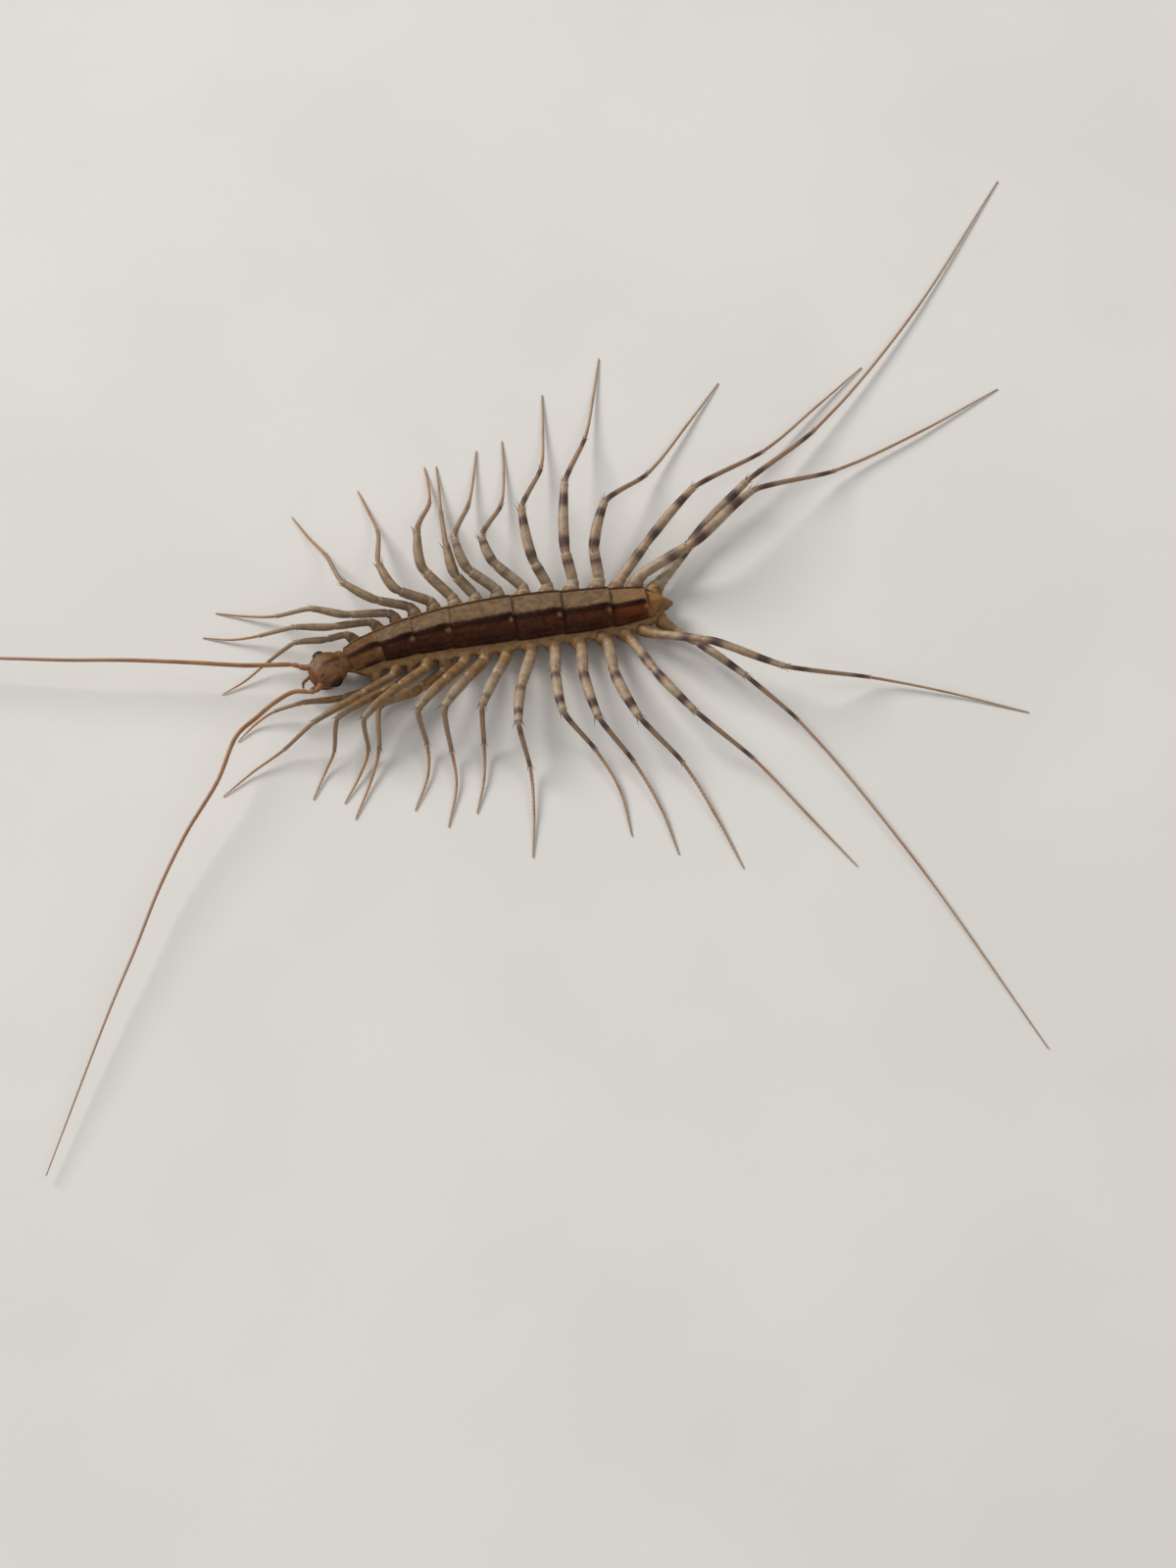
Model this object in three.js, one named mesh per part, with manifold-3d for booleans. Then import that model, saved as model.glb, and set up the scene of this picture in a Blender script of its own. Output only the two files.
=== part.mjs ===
// House centipede, Scutigera coleoptrata, at life size and at rest on the floor on all thirty feet.
// Millimetres, +Z up. +X runs along the body from head to tail, +Y is the animal's right side,
// and the floor is Z = 0. The origin is on the floor, below the middle of the whole spread.

import * as THREE from "three";
import { mergeVertices } from "three/addons/utils/BufferGeometryUtils.js";
import Module from "manifold-3d";

const wasm = await Module();
wasm.setup();

// Driving dimensions of the body

const GAP = 0.3; // between neighbouring pieces
const BEND_GAP = 0.34; // between lengths of the trunk or of an antenna, which bend towards each other
const TRUNK_LENGTH = 26.4; // the eight back plates, from the neck to the rear of the last one
const HEAD = { length: 3.2, width: 3.1, height: 1.95, middle: 2.2, yaw: 25 };

// The eight back plates from the neck to the tail: share of the trunk, width at the front, the turn of
// that stretch of the body in degrees, and the heights of the plate's edge and crown.
const PLATES = [
  { share: 0.103, width: 2.7, turn: 20, edge: 2.15, crown: 2.8 },
  { share: 0.111, width: 3.1, turn: 11, edge: 2.15, crown: 2.95 },
  { share: 0.117, width: 3.6, turn: 4, edge: 2.2, crown: 3.05 },
  { share: 0.197, width: 4.0, turn: 0, edge: 2.25, crown: 3.15 },
  { share: 0.151, width: 4.25, turn: -2, edge: 2.25, crown: 3.1 },
  { share: 0.154, width: 4.05, turn: -2, edge: 2.25, crown: 3.0 },
  { share: 0.114, width: 3.65, turn: 0, edge: 2.2, crown: 2.85 },
  { share: 0.053, width: 2.9, turn: 3, edge: 2.1, crown: 2.55 },
];
const TAIL_WIDTH = 1.7;
const PLATE = { thick: 0.42, rim: 0.26, rise: 0.16, notch: 0.25, corner: 0.4, belly: 0.05 };
const SADDLE = { height: 0.16, length: 0.45, width: 0.4, fromRear: 0.75 };
const CORE = { share: 0.39, belly: 0.85, back: 0.3, lobe: 0.1, lobeLength: 0.5, step: 0.65 };
const TELSON = { length: 0.75, width: 1.2, height: 0.8, middle: 1.55, tip: 0.4 };

// Where each pair of legs grows, counted in plates from the neck
const HIPS = [0.55, 1.25, 1.75, 2.25, 2.75, 3.18, 3.5, 3.82, 4.27, 4.75, 5.25, 5.75, 6.22, 6.73, 7.68];

// Radii of a leg of the middle of the body from hip to foot, with the steps between them, and how the
// legs grow towards the tail
const LEG = { radii: [0.46, 0.44, 0.46, 0.34, 0.26, 0.25], foot: 0.13, steps: [1, 2, 3, 3, 3, 4], sides: 8 };
const LEAST_RADIUS = 0.25; // of a leg, except along its tapered tarsus
const GROWTH = { first: 0.6, middle: 1, last: 1.06 };
const MIDDLE_LEG = 8;
const LAST_LEG = 15;
const HIP = { height: 1.2, gap: 0.46, out: 0.8, rise: 0.2, bow: 0.35, reach: 0.3 };
const SWEEP = { first: -0.42, middle: 0, last: 0.8 }; // of a shoulder from its hip, towards the tail
const KNEE_HEIGHT = { first: 2.7, middle: 3.5, last: 3.0 };
const ANKLE_HEIGHT = 1.0;
const TARSUS_HEIGHT = 0.35;
const FOOT_SUNK = 0.7; // height of the middle of a foot in foot radii, so that the floor cuts a flat

// Sizes on the head, most of them as places ahead of its middle, to the side of it and above it
const EYE = { length: 1.0, height: 0.86, thick: 0.7, at: [0.0, 1.38, 0.12], gap: 0.33 };
const BROW = { at: [0.85, 0, 0.1], size: [1.2, 1.1, 1.6] };
const LIP = { at: [1.2, 0, -0.3], size: [0.8, 0.7, 1.1] };
const SOCKET = { at: [0.95, 0.72, 0.22], size: [0.85, 0.8, 0.85] };
const FANG = {
  radii: [0.3, 0.1],
  route: [
    [-0.55, 0.55, -1.5],
    [0.3, 0.72, -1.47],
    [1.0, 0.5, -1.35],
    [1.3, 0.28, -1.3],
  ],
};
const PALP = {
  radii: [0.18, 0.1],
  route: [
    [1.75, 0.48, -0.66],
    [2.0, 0.5, -0.78],
    [2.2, 0.38, -1.05],
    [2.22, 0.28, -1.4],
  ],
};
const ANTENNA = { root: 0.3, middle: 0.25, tip: 0.12, thinFrom: 0.2, sides: 6, step: 1.3 };
const ANTENNA_ROOT = [1.54, 1.13, 0.25];
const ANTENNA_ELBOW = [1.84, 1.4, 0.35];
const ANTENNA_LENGTHS = [0, 0.2, 0.55, 1]; // where its three lengths part, as shares of the whole

// The pose, read by eye from the photograph in its frame of 1200 by 1600 pixels. A point is a pixel,
// and its place is where the sight line through it meets the height that the joint stands at.
const VIEW = {
  azimuth: -9, // degrees from the +Y direction, and above the floor
  elevation: 65,
  distance: 260,
  focal: 3300, // pixels
  middle: [600, 800],
  aim: [11.15, -12.11], // the floor at the middle of the photograph
};
const NECK = [354.5, 671.5];

// The last two pairs of legs cross: the fourteenth passes over the fifteenth.
const OVER = { lift: 0.8, bow: 0.9, rise: 0.6 };
const UNDER = { lift: -0.8, bow: -0.3, rise: 0 };

// Each leg by its number from the head: the middle of the thigh, the knee, the ankle, the middle of
// the tarsus and the foot. A thigh that is left out bows evenly from hip to knee. Where legs run close
// beside each other, rise lifts the shoulder, bow the thigh, and lift the thigh and the knee.
const RIGHT_LEGS = [
  {
    lift: -0.3, bow: 0.1, rise: 0,
    thigh: [330, 653], knee: [300, 656], ankle: [273, 676], tarsus: [250, 695], foot: [227, 709],
  },
  {
    bow: 0.7, rise: 0.05,
    thigh: [334, 640], knee: [300, 640], ankle: [264, 649], tarsus: [236, 653], foot: [207, 651],
  },
  {
    lift: 0.2, bow: 0.75, rise: 0.3,
    thigh: [350, 627], knee: [317, 621], ankle: [281, 629], tarsus: [250, 629], foot: [220, 626],
  },
  {
    bow: 0.7, rise: 0.3,
    thigh: [380, 611], knee: [349, 594], ankle: [333, 567], tarsus: [315, 549], foot: [298, 528],
  },
  {
    bow: 0.65, rise: 0.35,
    thigh: [402, 600], knee: [386, 575], ankle: [386, 545], tarsus: [377, 525], foot: [365, 501],
  },
  { thigh: [430, 578], knee: [425, 540], ankle: [438, 514], tarsus: [437, 495], foot: [433, 477] },
  {
    lift: -0.45, rise: 0,
    thigh: [463, 584], knee: [455, 556], ankle: [450, 524], tarsus: [448, 500], foot: [445, 476],
  },
  {
    lift: 0.45, rise: 0.4,
    thigh: [475, 578], knee: [463, 548], ankle: [478, 515], tarsus: [483, 488], foot: [486, 460],
  },
  { thigh: [502, 572], knee: [491, 547], ankle: [511, 516], tarsus: [514, 485], foot: [512, 450] },
  { thigh: [543, 569], knee: [532, 518], ankle: [552, 478], tarsus: [554, 440], foot: [553, 403] },
  { thigh: [576, 557], knee: [576, 492], ankle: [597, 447], tarsus: [605, 407], foot: [611, 366] },
  { thigh: [606, 557], knee: [617, 511], ankle: [660, 484], tarsus: [700, 435], foot: [733, 391] },
  { rise: 0.1, thigh: [665, 547], knee: [708, 497], ankle: [778, 461], tarsus: [833, 415], foot: [879, 375] },
  { ...OVER, thigh: [711, 551], knee: [768, 500], ankle: [850, 481], tarsus: [940, 440], foot: [1018, 397] },
  { ...UNDER, thigh: [712, 545], knee: [762, 491], ankle: [830, 440], tarsus: [928, 325], foot: [1018, 185] },
];
const LEFT_LEGS = [
  {
    lift: -0.9, bow: 0, rise: -0.3,
    thigh: [345, 713], knee: [308, 717], ankle: [280, 726], tarsus: [261, 739], foot: [243, 757],
  },
  {
    lift: 0.2, bow: 0.4, rise: 0.6,
    thigh: [363, 711], knee: [320, 737], ankle: [290, 765], tarsus: [258, 788], foot: [228, 813],
  },
  {
    lift: -0.7, bow: -0.25, rise: -0.5,
    thigh: [384, 709], knee: [344, 733], ankle: [341, 767], tarsus: [333, 786], foot: [320, 816],
  },
  {
    lift: 0.45, bow: 0.45, rise: 0.6,
    thigh: [402, 704], knee: [371, 733], ankle: [376, 766], tarsus: [367, 792], foot: [352, 820],
  },
  {
    lift: -0.85, bow: -0.2, rise: -0.4,
    thigh: [426, 704], knee: [387, 720], ankle: [387, 764], tarsus: [379, 796], foot: [363, 836],
  },
  { knee: [426, 724], ankle: [436, 760], tarsus: [437, 790], foot: [424, 827] },
  { knee: [453, 722], ankle: [461, 767], tarsus: [466, 800], foot: [458, 844] },
  { knee: [492, 720], ankle: [494, 760], tarsus: [494, 795], foot: [487, 830] },
  { thigh: [531, 703], knee: [529, 738], ankle: [541, 783], tarsus: [545, 828], foot: [544, 875] },
  { thigh: [567, 689], knee: [575, 727], ankle: [607, 764], tarsus: [632, 805], foot: [645, 853] },
  { thigh: [596, 689], knee: [611, 732], ankle: [646, 776], tarsus: [674, 824], foot: [693, 872] },
  { thigh: [628, 689], knee: [652, 731], ankle: [696, 777], tarsus: [730, 832], foot: [759, 886] },
  { thigh: [672, 688], knee: [709, 725], ankle: [769, 774], tarsus: [825, 832], foot: [875, 884] },
  { ...OVER, thigh: [728, 654], knee: [802, 680], ankle: [888, 691], tarsus: [965, 706], foot: [1050, 727] },
  {
    ...UNDER,
    thigh: [716, 658], knee: [762, 690], ankle: [815, 735], tarsus: [930, 873], foot: [1070, 1070],
  },
];

// The antennae, each point a pixel and a height. The right one leaves the photograph, and goes on
// nearly straight to the left one's length.
const RIGHT_ANTENNA = [
  [[300, 678.5], 2.6],
  [[250, 679], 2.8],
  [[194, 676], 2.9],
  [[126, 673.6], 2.9],
  [[70, 673.6], 2.8],
  [[8, 672], 2.6],
  [[-90, 670], 2.1],
  [[-185, 672], 1.5],
  [[-272, 680], 1.0],
];
const LEFT_ANTENNA = [
  [[300, 706], 2.6],
  [[280, 717], 2.9],
  [[262, 732], 3.0],
  [[242, 750], 3.0],
  [[222, 797], 2.8],
  [[190, 850], 2.5],
  [[163, 905], 2.1],
  [[138, 968], 1.8],
  [[112, 1030], 1.5],
  [[47, 1200], 0.7],
];

// Materials: colour, roughness and metalness of each kind of piece

const finish = (color, roughness) => new THREE.MeshStandardMaterial({ color, roughness, metalness: 0 });
const FINISHES = {
  plate: () => finish(0x7d6a50, 0.45),
  head: () => finish(0x8f7442, 0.4),
  eye: () => finish(0x14110f, 0.2),
  mouthpart: () => finish(0xa8692f, 0.4),
  antenna: () => finish(0xa8713f, 0.55),
  leg: () => finish(0x9d8a6c, 0.5),
};

// Geometry helpers

const UP = new THREE.Vector3(0, 0, 1);
const WELD = 1e-4;
const { degToRad, lerp, clamp } = THREE.MathUtils;

function heading(angle) {
  return new THREE.Vector3(Math.cos(degToRad(angle)), Math.sin(degToRad(angle)), 0);
}

// The point at a height that the photograph shows at a pixel.
function seenAt([column, row], height) {
  const tilt = degToRad(VIEW.elevation);
  const right = heading(VIEW.azimuth);
  const away = heading(VIEW.azimuth + 90);
  const back = away.clone().multiplyScalar(-Math.cos(tilt)).addScaledVector(UP, Math.sin(tilt));
  const up = away.clone().multiplyScalar(Math.sin(tilt)).addScaledVector(UP, Math.cos(tilt));
  const eye = new THREE.Vector3(VIEW.aim[0], VIEW.aim[1], 0).addScaledVector(back, VIEW.distance);
  const ray = right
    .multiplyScalar(column - VIEW.middle[0])
    .addScaledVector(up, VIEW.middle[1] - row)
    .addScaledVector(back, -VIEW.focal);
  return eye.addScaledVector(ray, (height - eye.z) / ray.z);
}

// A closed solid for joining and cutting, from a three.js geometry.
function solid(geometry) {
  geometry.deleteAttribute("normal");
  geometry.deleteAttribute("uv");
  const merged = mergeVertices(geometry, WELD);
  return new wasm.Manifold(
    new wasm.Mesh({
      numProp: 3,
      vertProperties: new Float32Array(merged.attributes.position.array),
      triVerts: new Uint32Array(merged.index.array),
    }),
  );
}

// The largest closed surface of a solid, as a three.js geometry.
function surface(made) {
  const largest = made.decompose().reduce((a, b) => (b.volume() > a.volume() ? b : a));
  const mesh = largest.getMesh();
  const geometry = new THREE.BufferGeometry();
  geometry.setAttribute("position", new THREE.BufferAttribute(new Float32Array(mesh.vertProperties), 3));
  geometry.setIndex(new THREE.BufferAttribute(new Uint32Array(mesh.triVerts), 1));
  geometry.computeVertexNormals();
  return geometry;
}

// Moves every vertex of a geometry to where a function puts it.
function reshape(geometry, place) {
  const position = geometry.attributes.position;
  const vertex = new THREE.Vector3();
  for (let i = 0; i < position.count; i += 1) {
    const moved = place(vertex.fromBufferAttribute(position, i));
    position.setXYZ(i, moved.x, moved.y, moved.z);
  }
  return geometry;
}

// A point from a middle, along three axes.
function offset(middle, axes, [a, b, c]) {
  return middle
    .clone()
    .addScaledVector(axes[0], a)
    .addScaledVector(axes[1], b)
    .addScaledVector(axes[2], c);
}

// A round limb through stations of { point, radius }, with flat ends, the first one facing a direction
// where one is given.
function limb(stations, sides, facing) {
  const steps = stations.length - 1;
  let normal = UP.clone();
  const frames = stations.map(({ point }, i) => {
    const before = stations[Math.max(i - 1, 0)].point;
    const after = stations[Math.min(i + 1, steps)].point;
    const along = i === 0 && facing ? facing : after.clone().sub(before).normalize();
    normal = normal.clone().addScaledVector(along, -normal.dot(along)).normalize();
    return [normal, along, normal.clone().cross(along)];
  });
  return reshape(new THREE.CylinderGeometry(1, 1, 1, sides, steps), (v) => {
    const i = Math.round((v.y + 0.5) * steps);
    const { point, radius } = stations[i];
    return offset(point, frames[i], [v.x * radius, 0, v.z * radius]);
  });
}

function ellipsoid(middle, axes, size, columns, rows) {
  return reshape(new THREE.SphereGeometry(0.5, columns, rows), (v) =>
    offset(middle, axes, [v.x * size[0], v.y * size[1], v.z * size[2]]),
  );
}

// The body's middle line on the floor, from the neck to the tail, one span for each back plate

const joints = [seenAt(NECK, HEAD.middle).setZ(0)];
for (const { share, turn } of PLATES) {
  joints.push(offset(joints[joints.length - 1], [heading(turn), UP, UP], [share * TRUNK_LENGTH, 0, 0]));
}
const spine = new THREE.CatmullRomCurve3(joints, false, "centripetal");

// A point beside the middle line: span counts plates from the neck, side is towards the right legs.
function besideSpine(span, side, height) {
  const t = clamp(span / PLATES.length, 0, 1);
  const along = spine.getTangent(t);
  return offset(spine.getPoint(t), [along, UP.clone().cross(along), UP], [0, side, height]);
}

// Width of the back at a span.
function backWidth(span) {
  const widths = [...PLATES.map(({ width }) => width), TAIL_WIDTH];
  const i = clamp(Math.floor(span), 0, PLATES.length - 1);
  return lerp(widths[i], widths[i + 1], clamp(span - i, 0, 1));
}

// How much of the swelling over a pair of hips the trunk has at a span, from 0 to 1.
function hipSwelling(span, millimetresPerSpan) {
  const swellings = HIPS.map((hip) => {
    const away = ((span - hip) * millimetresPerSpan) / CORE.lobeLength;
    return Math.exp(-(away ** 2));
  });
  return Math.max(...swellings);
}

// One stretch of trunk: a rounded core with a swelling at each pair of hips, under its back plate.
function trunkPiece(index) {
  const { share, edge, crown } = PLATES[index];
  const length = share * TRUNK_LENGTH;
  const start = index + BEND_GAP / 2 / length;
  const end = index + 1 - BEND_GAP / 2 / length;
  const core = new THREE.CylinderGeometry(1, 1, 1, 12, Math.ceil(length / CORE.step));
  reshape(core, (v) => {
    const span = lerp(start, end, v.y + 0.5);
    const half = backWidth(span) * CORE.share + CORE.lobe * hipSwelling(span, length);
    const middle = (CORE.belly + crown - CORE.back) / 2;
    return besideSpine(span, v.x * half, middle - v.z * (middle - CORE.belly));
  });
  const plate = new THREE.BoxGeometry(1, 1, 1, 6, 10, 1);
  reshape(plate, (v) => {
    const across = 2 * v.y;
    const corner = (PLATE.corner / length) * Math.abs(across) ** 5;
    const notch = (PLATE.notch / length) * (1 - across ** 2);
    const span = lerp(start + corner, end - corner - notch, v.x + 0.5);
    const half = backWidth(span) / 2 + PLATE.belly * Math.cos(Math.PI * v.x);
    const thick = lerp(PLATE.thick, PLATE.rim, Math.abs(across));
    const fromRear = ((0.5 - v.x) * length - SADDLE.fromRear) / SADDLE.length;
    const beside = (across * half) / SADDLE.width;
    const saddle = v.z > 0 ? SADDLE.height * Math.exp(-(fromRear ** 2) - beside ** 2) : 0;
    const arch = lerp(crown, edge, across ** 2) + PLATE.rise * v.x + saddle;
    return besideSpine(span, across * half, arch + (v.z - 0.5) * thick);
  });
  return solid(core).add(solid(plate));
}

function telson() {
  const along = heading(PLATES[PLATES.length - 1].turn);
  const axes = [UP.clone().cross(along), along, UP.clone().negate()];
  const middle = joints[joints.length - 1].clone().addScaledVector(along, (GAP + TELSON.length) / 2);
  const { width, length, height } = TELSON;
  return solid(
    reshape(new THREE.CylinderGeometry(TELSON.tip / 2, 0.5, 1, 10, 3), (v) =>
      offset(middle.clone().setZ(TELSON.middle), axes, [v.x * width, v.y * length, v.z * height]),
    ),
  );
}

// The head, in its own axes: ahead, up and to its right side

const headAhead = heading(180 + HEAD.yaw);
const headAxes = [headAhead, UP, headAhead.clone().cross(UP)];
const headMiddle = offset(joints[0], headAxes, [GAP + HEAD.length / 2, HEAD.middle, 0]);

// A place on the head, side 1 for its right and -1 for its left.
function onHead([ahead, beside, above], side) {
  return offset(headMiddle, headAxes, [ahead, above, beside * side]);
}

function bulge({ at, size: [length, height, width] }, side = 1) {
  return solid(ellipsoid(onHead(at, side), headAxes, [length, height, width], 12, 8));
}

function eye(side, grown = 0) {
  const size = [EYE.length, EYE.height, EYE.thick].map((s) => s + 2 * grown);
  return bulge({ at: EYE.at, size }, side);
}

function head() {
  const size = [HEAD.length, HEAD.height, HEAD.width];
  let made = solid(ellipsoid(headMiddle, headAxes, size, 24, 14)).add(bulge(BROW)).add(bulge(LIP));
  for (const side of [-1, 1]) {
    made = made.add(bulge(SOCKET, side)).subtract(eye(side, EYE.gap));
  }
  return made;
}

function mouthpart({ route, radii }, side) {
  const curve = new THREE.CatmullRomCurve3(route.map((place) => onHead(place, side)));
  const steps = 8;
  const stations = Array.from({ length: steps + 1 }, (_, i) => ({
    point: curve.getPoint(i / steps),
    radius: lerp(radii[0], radii[1], (i / steps) ** 1.5),
  }));
  return solid(limb(stations, 8));
}

function antennaRadius(u) {
  const { root, middle, tip, thinFrom } = ANTENNA;
  if (u < thinFrom) return lerp(root, middle, u / thinFrom);
  return lerp(middle, tip, ((u - thinFrom) / (1 - thinFrom)) ** 3);
}

// The three lengths of one antenna.
function antenna(points, side) {
  const roots = [onHead(ANTENNA_ROOT, side), onHead(ANTENNA_ELBOW, side)];
  const fromSocket = roots[0].clone().sub(onHead(SOCKET.at, side)).normalize();
  const route = [...roots, ...points.map(([pixel, height]) => seenAt(pixel, height))];
  const curve = new THREE.CatmullRomCurve3(route, false, "centripetal");
  const whole = curve.getLength();
  return ANTENNA_LENGTHS.slice(1).map((to, i) => {
    const from = ANTENNA_LENGTHS[i] + (i > 0 ? BEND_GAP / whole : 0);
    const count = Math.ceil(((to - from) * whole) / ANTENNA.step);
    const stations = Array.from({ length: count + 1 }, (_, k) => {
      const u = lerp(from, to, k / count);
      return { point: curve.getPointAt(u), radius: antennaRadius(u) };
    });
    return solid(limb(stations, ANTENNA.sides, i === 0 ? fromSocket : undefined));
  });
}

// Legs

const floorBox = new THREE.BoxGeometry(300, 300, 10);
floorBox.translate(0, 0, -5);
const floor = solid(floorBox);

// A size that goes from the first leg's through the middle leg's to the last one's.
function byLeg({ first, middle, last }, number) {
  if (number < MIDDLE_LEG) return lerp(first, middle, (number - 1) / (MIDDLE_LEG - 1));
  return lerp(middle, last, (number - MIDDLE_LEG) / (LAST_LEG - MIDDLE_LEG));
}

function leg(number, side, pose) {
  const scale = byLeg(GROWTH, number);
  const span = HIPS[number - 1];
  const widest = Math.max(backWidth(span - HIP.reach), backWidth(span + HIP.reach));
  const hipSide = widest * CORE.share + CORE.lobe + HIP.gap;
  const hip = besideSpine(span, side * hipSide, HIP.height);
  const along = spine.getTangent(span / PLATES.length);
  const rise = pose.rise ?? HIP.rise;
  const shoulder = besideSpine(span, side * (hipSide + HIP.out), HIP.height + rise);
  shoulder.addScaledVector(along, byLeg(SWEEP, number));
  const kneeHeight = byLeg(KNEE_HEIGHT, number) + (pose.lift ?? 0);
  const knee = seenAt(pose.knee, kneeHeight);
  const bowed = shoulder.clone().lerp(knee, 0.5).addScaledVector(UP, pose.bow ?? HIP.bow);
  const thigh = pose.thigh ? seenAt(pose.thigh, bowed.z) : bowed;
  const ankle = seenAt(pose.ankle, ANKLE_HEIGHT);
  const tarsus = seenAt(pose.tarsus, TARSUS_HEIGHT);
  const foot = seenAt(pose.foot, LEG.foot * scale * FOOT_SUNK);
  const route = [hip, shoulder, thigh, knee, ankle, tarsus, foot];
  const curve = new THREE.CatmullRomCurve3(route, false, "centripetal");
  const radii = [...LEG.radii.map((r) => Math.max(r * scale, LEAST_RADIUS)), LEG.foot * scale];
  const stations = [{ point: hip, radius: radii[0] }];
  LEG.steps.forEach((count, part) => {
    for (let i = 1; i <= count; i += 1) {
      const radius = lerp(radii[part], radii[part + 1], i / count);
      stations.push({ point: curve.getPoint((part + i / count) / LEG.steps.length), radius });
    }
  });
  const outward = UP.clone().cross(along).multiplyScalar(side);
  return solid(limb(stations, LEG.sides, outward)).subtract(floor);
}

// The whole animal: one mesh for each named part

const centipede = new THREE.Group();
centipede.name = "house_centipede";

function addPart(name, made, material) {
  const mesh = new THREE.Mesh(surface(made), material());
  mesh.name = name;
  centipede.add(mesh);
}

function addSide(suffix, side, legs, antennaPoints) {
  addPart(`eye_${suffix}`, eye(side), FINISHES.eye);
  addPart(`forcipule_${suffix}`, mouthpart(FANG, side), FINISHES.mouthpart);
  addPart(`palp_${suffix}`, mouthpart(PALP, side), FINISHES.mouthpart);
  antenna(antennaPoints, side).forEach((made, i) => {
    addPart(`antenna_${suffix}_${i + 1}`, made, FINISHES.antenna);
  });
  legs.forEach((pose, i) => {
    const number = i + 1;
    addPart(`leg_${suffix}_${String(number).padStart(2, "0")}`, leg(number, side, pose), FINISHES.leg);
  });
}

addPart("head", head(), FINISHES.head);
addSide("r", 1, RIGHT_LEGS, RIGHT_ANTENNA);
addSide("l", -1, LEFT_LEGS, LEFT_ANTENNA);
PLATES.forEach((_, i) => addPart(`trunk_${i + 1}`, trunkPiece(i), FINISHES.plate));
addPart("telson", telson(), FINISHES.plate);

export default centipede;
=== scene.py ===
# House centipede, Scutigera coleoptrata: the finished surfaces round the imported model.
# Sizes are in millimetres, and a mesh becomes metres when it is made. +X runs along the body from
# head to tail, +Y is the animal's right side, and the floor is Z = 0.

import math

import bmesh
import bpy
import numpy as np
from mathutils import Matrix, Vector


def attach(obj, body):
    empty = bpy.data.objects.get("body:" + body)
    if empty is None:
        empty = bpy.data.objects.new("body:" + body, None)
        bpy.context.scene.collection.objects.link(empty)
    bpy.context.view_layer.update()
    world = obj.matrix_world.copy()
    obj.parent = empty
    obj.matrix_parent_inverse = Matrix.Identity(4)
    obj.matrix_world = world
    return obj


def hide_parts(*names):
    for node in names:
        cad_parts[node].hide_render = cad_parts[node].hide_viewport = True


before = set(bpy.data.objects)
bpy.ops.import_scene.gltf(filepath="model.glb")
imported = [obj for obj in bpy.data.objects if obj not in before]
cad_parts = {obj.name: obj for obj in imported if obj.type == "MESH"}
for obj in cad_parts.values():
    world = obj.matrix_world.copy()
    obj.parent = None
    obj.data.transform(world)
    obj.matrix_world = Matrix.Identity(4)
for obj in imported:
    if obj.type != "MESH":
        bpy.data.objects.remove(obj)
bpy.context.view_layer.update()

MM = 0.001
UP = np.array([0.0, 0.0, 1.0])
draws = np.random.default_rng(15)

# Driving sizes of the body, as in the solids

TRUNK_LENGTH = 26.4
HEAD = dict(length=3.2, width=3.1, height=1.95, middle=2.2, yaw=25, gap=0.3)
PLATES = [
    dict(share=0.103, width=2.7, turn=20, edge=2.15, crown=2.8),
    dict(share=0.111, width=3.1, turn=11, edge=2.15, crown=2.95),
    dict(share=0.117, width=3.6, turn=4, edge=2.2, crown=3.05),
    dict(share=0.197, width=4.0, turn=0, edge=2.25, crown=3.15),
    dict(share=0.151, width=4.25, turn=-2, edge=2.25, crown=3.1),
    dict(share=0.154, width=4.05, turn=-2, edge=2.25, crown=3.0),
    dict(share=0.114, width=3.65, turn=0, edge=2.2, crown=2.85),
    dict(share=0.053, width=2.9, turn=3, edge=2.1, crown=2.55),
]
TAIL_WIDTH = 1.7
TAPER = 0.32  # of the last plate's rear end
PLATE = dict(thick=0.3, rim=0.12, rise=0.2, notch=0.2, corner=0.28, belly=0.05, before=0.1, overlap=0.32)
PLATE_GRID = dict(step=0.09, fewest=14, columns=45)
SADDLE = dict(height=0.2, size=(0.45, 0.42), from_rear=0.75)
SLIT = dict(depth=0.1, size=(0.2, 0.055))
# Fine relief of a plate: where it is, how wide and how high
RIM = (0.94, 0.035, 0.045)
GROOVE = (0.34, 0.1, -0.03)
FRONT_LIP = (0.1, 0.08, 0.03)
REAR_LIP = (0.08, 0.07, 0.025)
ROUNDED = 0.06  # how far its edges are rounded down
PALE = dict(at=(-0.5, -0.65), size=(0.26, 0.26))  # the pale spot behind a saddle
# How far the dressed back lies to the left of the solids' middle line, and how much narrower its plates
# are on each side. The first number counts plates from the neck.
SWAY = [
    (-1, 0.05), (0, 0.1), (1.5, 0.28), (2.5, 0.27), (3.5, 0.17), (4.5, 0.1), (6.5, 0.1), (8, 0.28),
    (9, 0.38),
]
NARROWER = [(0, 0.2), (1.5, 0.13), (2.5, 0.13), (4, 0.03), (6, 0), (7.5, 0.08)]
# Dark stripes, as shares of a plate's half width, each first as on the first plate and then behind it
STRIPE = dict(at=(-0.06, -0.17), wide=(0.4, 0.27))
NEAR_STRIPE = dict(at=(-0.96, -0.86), wide=(0.28, 0.28))
CORE = dict(share=0.39, belly=0.85, back=0.3, lobe=0.1)
TELSON = dict(length=0.8, middle=1.6, above=0.12, below=0.1, narrow=0.3)
SKIN = dict(bulge=1.15, swell=0.2, swell_length=0.5, crease=0.1, far_side=0.8, rows=300, sides=56)
HIPS = [0.55, 1.25, 1.75, 2.25, 2.75, 3.18, 3.5, 3.82, 4.27, 4.75, 5.25, 5.75, 6.22, 6.73, 7.68]

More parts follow.
